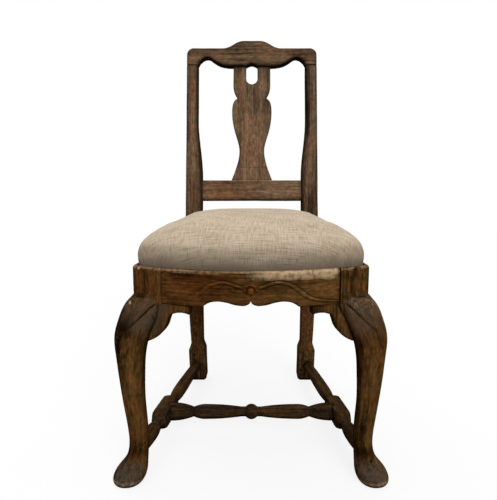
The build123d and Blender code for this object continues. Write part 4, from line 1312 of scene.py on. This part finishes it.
class CHAIR_OT_underside(bpy.types.Operator):
    """Weave the webbing, stretch the hessian over it and tack the linen under the seat frame"""

    bl_idname = "chair.underside"
    bl_label = "Web and Tack Seat"

    def execute(self, context):
        seat = context.scene.chair_seat
        shade = tuple(c * 0.5 for c in seat.jute)
        weave = (seat.coarse_thread, seat.coarse_slub)
        jute = woven("jute_webbing", seat.jute, shade, seat.jute, *weave, soiled_and_shaded=False)
        self.webbing(seat, jute)
        self.hessian(jute)
        self.tacks(seat)
        return {"FINISHED"}

    @staticmethod
    def strap_line(seat, crossways, n):
        """A strap's middle line: its place across, its run, and its height over and under the others."""
        rows_y = (FRAME_HIGH.y + REAR_LOW.y) / 2
        if crossways:
            centre, crossing = rows_y, 0
            end = STRAPS_HIGH.x - abs(n) * STRAP_CORNER - (n + 1) * STRAP_TAPER
            start = -end
        else:
            centre, crossing = 0, rows_y
            end = STRAPS_HIGH.y
            start = STRAPS_LOW.y + abs(n) * STRAP_BOW
        along = np.linspace(start, end, STRAP_STEPS)
        middle = (STRAPS_LOW.z + STRAPS_HIGH.z) / 2
        wave = (STRAPS_HIGH.z - STRAPS_LOW.z - seat.strap_thickness) / 2 - STRAP_CLEARANCE
        phase = (along - crossing) / seat.strap_pitch * math.pi
        return centre + n * seat.strap_pitch, along, middle + wave * np.cos(phase) * (-1) ** (n + crossways)

    def webbing(self, seat, jute):
        """Three straps each way, passing over and under each other."""
        half, thick = seat.strap / 2, seat.strap_thickness / 2
        points, faces, cloth, lengths = [], [], [], []
        for crossways, n in product((False, True), (-1, 0, 1)):
            centre, along, lift = self.strap_line(seat, crossways, n)
            lengths.append(float(np.hypot(np.diff(along), np.diff(lift)).sum()))
            base = len(points)
            for up, across in product((-thick, thick), (-half, half)):
                for run, high in zip(along, lift):
                    spot = (run, centre + across) if crossways else (centre + across, run)
                    points.append((*spot, high + up))
                    cloth.append((run, across))
            lines = [base + row * STRAP_STEPS for row in (0, 1, 3, 2)]
            for p, q in zip(lines, lines[1:] + lines[:1]):
                faces += [(p + i, p + i + 1, q + i + 1, q + i) for i in range(STRAP_STEPS - 1)]
            faces += [tuple(lines), tuple(p + STRAP_STEPS - 1 for p in reversed(lines))]
        mesh = solid_mesh("webbing_straps", points, faces)
        layer = mesh.uv_layers.new(name="cloth")
        for loop in mesh.loops:
            layer.data[loop.index].uv = cloth[loop.vertex_index]
        straps = new_piece("webbing_straps", mesh, jute, SEAT, "webbing", "seat_webbing")

    @staticmethod
    def hessian(jute):
        """The hessian sheet, stretched flat over the straps."""
        mesh = as_mesh(welded("seat_hessian"), "hessian_sheet")
        cloth_map(mesh)
        sheet = new_piece("hessian_sheet", mesh, jute, SEAT, "hessian", "seat_hessian")

    @staticmethod
    def tack_line(seat):
        """A closed line along the middle of the turned linen, all round the underside."""
        inset = FRONT_INSET + seat.turn / 2
        front = np.linspace(-TACK_LINE_FRONT, TACK_LINE_FRONT, TACK_LINE_STEPS)
        back = COVER_HIGH.y - seat.turn / 2 - REAR_INSET
        ring = [(x, float(bow_y(x, inset))) for x in front]
        ring += [(TACK_LINE_BACK, back), (-TACK_LINE_BACK, back)]
        curve = bpy.data.curves.new("tack_line", "CURVE")
        curve.dimensions = "3D"
        spline = curve.splines.new("POLY")
        spline.points.add(len(ring) - 1)
        for point, place in zip(spline.points, ring):
            point.co = (*place, COVER_LOW.z, 1)
        spline.use_cyclic_u = True
        return new_object("tack_line", curve)

    def tacks(self, seat):
        """Iron tacks through the turned edge of the linen."""
        iron = blued_iron()
        tree = bpy.data.node_groups.new("tack_row", "GeometryNodeTree")
        put = partial(add, tree)
        tree.interface.new_socket("Line", in_out="INPUT", socket_type="NodeSocketGeometry")
        pitch = tree.interface.new_socket("Pitch", in_out="INPUT", socket_type="NodeSocketFloat")
        head = tree.interface.new_socket("Head", in_out="INPUT", socket_type="NodeSocketFloat")
        tree.interface.new_socket("Tacks", in_out="OUTPUT", socket_type="NodeSocketGeometry")
        given = put("NodeGroupInput").outputs
        spread = {"Curve": given["Line"], "Length": given["Pitch"]}
        spots = put("GeometryNodeCurveToPoints", mode="LENGTH", named=spread).outputs["Points"]
        half = put(MATH, given["Head"], 0.5, operation="MULTIPLY")
        ball = put("GeometryNodeMeshUVSphere", named={"Segments": 10, "Rings": 6, "Radius": half})
        flat = put("GeometryNodeTransform", named={"Geometry": ball, "Scale": (1, 1, 0.4)})
        many = put("GeometryNodeInstanceOnPoints", named={"Points": spots, "Instance": flat})
        real = put("GeometryNodeRealizeInstances", many)
        done = put("GeometryNodeSetMaterial", named={"Geometry": real, "Material": iron})
        put("NodeGroupOutput", done)
        line = self.tack_line(seat)
        row = line.modifiers.new("Tacks", "NODES")
        row.node_group = tree
        row[pitch.identifier] = seat.tack_pitch
        row[head.identifier] = seat.tack_head
        mesh = evaluated_mesh(line)
        line.modifiers.clear()
        bpy.data.objects.remove(line)
        new_piece("seat_tacks", mesh, iron, SEAT, "linen")


WHITE = (1, 1, 1)
SENSOR = 36
FLOOR_HALF = 40
LAMP_HEIGHT = 3


class CHAIR_OT_stage(bpy.types.Operator):
    """Set the pale floor, the soft studio light and the camera"""

    bl_idname = "chair.stage"
    bl_label = "Set Stage"

    def execute(self, context):
        stage = context.scene.chair_stage
        context.scene.view_settings.view_transform = "Standard"
        self.floor(stage)
        self.sky(stage)
        self.lamps(stage)
        self.camera(stage)
        return {"FINISHED"}

    @staticmethod
    def seen(put):
        """One where the camera or a reflection looks, nought where light bounces."""
        rays = put("ShaderNodeLightPath").outputs
        share = rays["Is Camera Ray"]
        for other in ("Is Glossy Ray", "Is Transmission Ray"):
            share = put(MATH, share, rays[other], operation="MAXIMUM")
        return share

    def floor(self, stage):
        """Plain pale floor, painted matt: white to the eye with the chair's soft shadow on it."""
        made, put = new_material("matt_white_floor", stage.floor)
        seen = self.seen(put)
        tint = put(MIX, seen, stage.bounce, stage.floor, data_type="RGBA")
        veil = put(MATH, seen, stage.veil, operation="MULTIPLY")
        glow = put("ShaderNodeEmission", WHITE, 1.0)
        put(OUTPUT, put("ShaderNodeMixShader", veil, put("ShaderNodeBsdfDiffuse", tint), glow))
        mesh = bpy.data.meshes.new("floor")
        corners = [(x * FLOOR_HALF, y * FLOOR_HALF, 0) for x, y in ((-1, -1), (1, -1), (1, 1), (-1, 1))]
        mesh.from_pydata(corners, [], [(0, 1, 2, 3)])
        dress(mesh, made)
        new_object("floor", mesh)

    def sky(self, stage):
        """Weak even light all round, and white where the camera looks past the floor."""
        world = bpy.data.worlds.new("studio")
        world.use_nodes = True
        world.node_tree.nodes.clear()
        put = partial(add, world.node_tree)
        strength = put(RANGE, self.seen(put), 0, 1, stage.sky, 1)
        put("ShaderNodeOutputWorld", put("ShaderNodeBackground", WHITE, strength))
        bpy.context.scene.world = world

    @staticmethod
    def lamps(stage):
        """A broad soft light overhead, another in front from above and the right, and a weak one behind."""
        for name, strength, spread, tilt, swing in (
            ("overhead", stage.overhead, 70, -6, 4),
            ("front", stage.front, 45, 50, 16),
            ("rear", stage.rear, 60, -55, 24),
        ):
            lamp = bpy.data.lights.new(name, "SUN")
            lamp.energy = strength
            lamp.angle = math.radians(spread)
            hung = new_object(name, lamp)
            hung.rotation_euler = (math.radians(tilt), 0, math.radians(swing))
            hung.location = (0, 0, LAMP_HEIGHT)

    @staticmethod
    def camera(stage):
        """The camera, before the chair and a little higher than its seat, tilted down."""
        view = bpy.data.cameras.new("view")
        view.sensor_fit = "VERTICAL"
        view.sensor_height = SENSOR
        view.lens = SENSOR * stage.focal
        view.shift_x, view.shift_y = stage.shift
        view.clip_end = 100
        eye = new_object("view", view)
        eye.location = stage.eye
        eye.rotation_euler = (math.pi / 2 - stage.tilt, 0, 0)
        bpy.context.scene.camera = eye


class CHAIR_PT_panel(bpy.types.Panel):
    """Sizes, colours and steps of the chair"""

    bl_idname = "CHAIR_PT_panel"
    bl_label = "Side Chair"
    bl_space_type = "VIEW_3D"
    bl_region_type = "UI"
    bl_category = "Chair"

    def draw(self, context):
        for step in STEPS:
            self.layout.operator(step.bl_idname)
        for group in GROUPS:
            box = self.layout.box()
            settings = getattr(context.scene, group)
            for name in settings.__annotations__:
                box.prop(settings, name)


GROUPS = {
    "chair_timber": ChairTimber,
    "chair_carving": ChairCarving,
    "chair_seat": ChairSeat,
    "chair_stage": ChairStage,
}
STEPS = (
    CHAIR_OT_timber,
    CHAIR_OT_braces,
    CHAIR_OT_back,
    CHAIR_OT_front_rail,
    CHAIR_OT_front_legs,
    CHAIR_OT_cushion,
    CHAIR_OT_underside,
    CHAIR_OT_stage,
)


def register():
    for kind in (*GROUPS.values(), *STEPS, CHAIR_PT_panel):
        bpy.utils.register_class(kind)
    for name, group in GROUPS.items():
        setattr(bpy.types.Scene, name, PointerProperty(type=group))


def unregister():
    for name in GROUPS:
        delattr(bpy.types.Scene, name)
    for kind in reversed((*GROUPS.values(), *STEPS, CHAIR_PT_panel)):
        bpy.utils.unregister_class(kind)


def main():
    register()
    bpy.ops.chair.timber()
    bpy.ops.chair.braces()
    bpy.ops.chair.back()
    bpy.ops.chair.front_rail()
    bpy.ops.chair.front_legs()
    bpy.ops.chair.cushion()
    bpy.ops.chair.underside()
    bpy.ops.chair.stage()


if __name__ == "__main__":
    main()
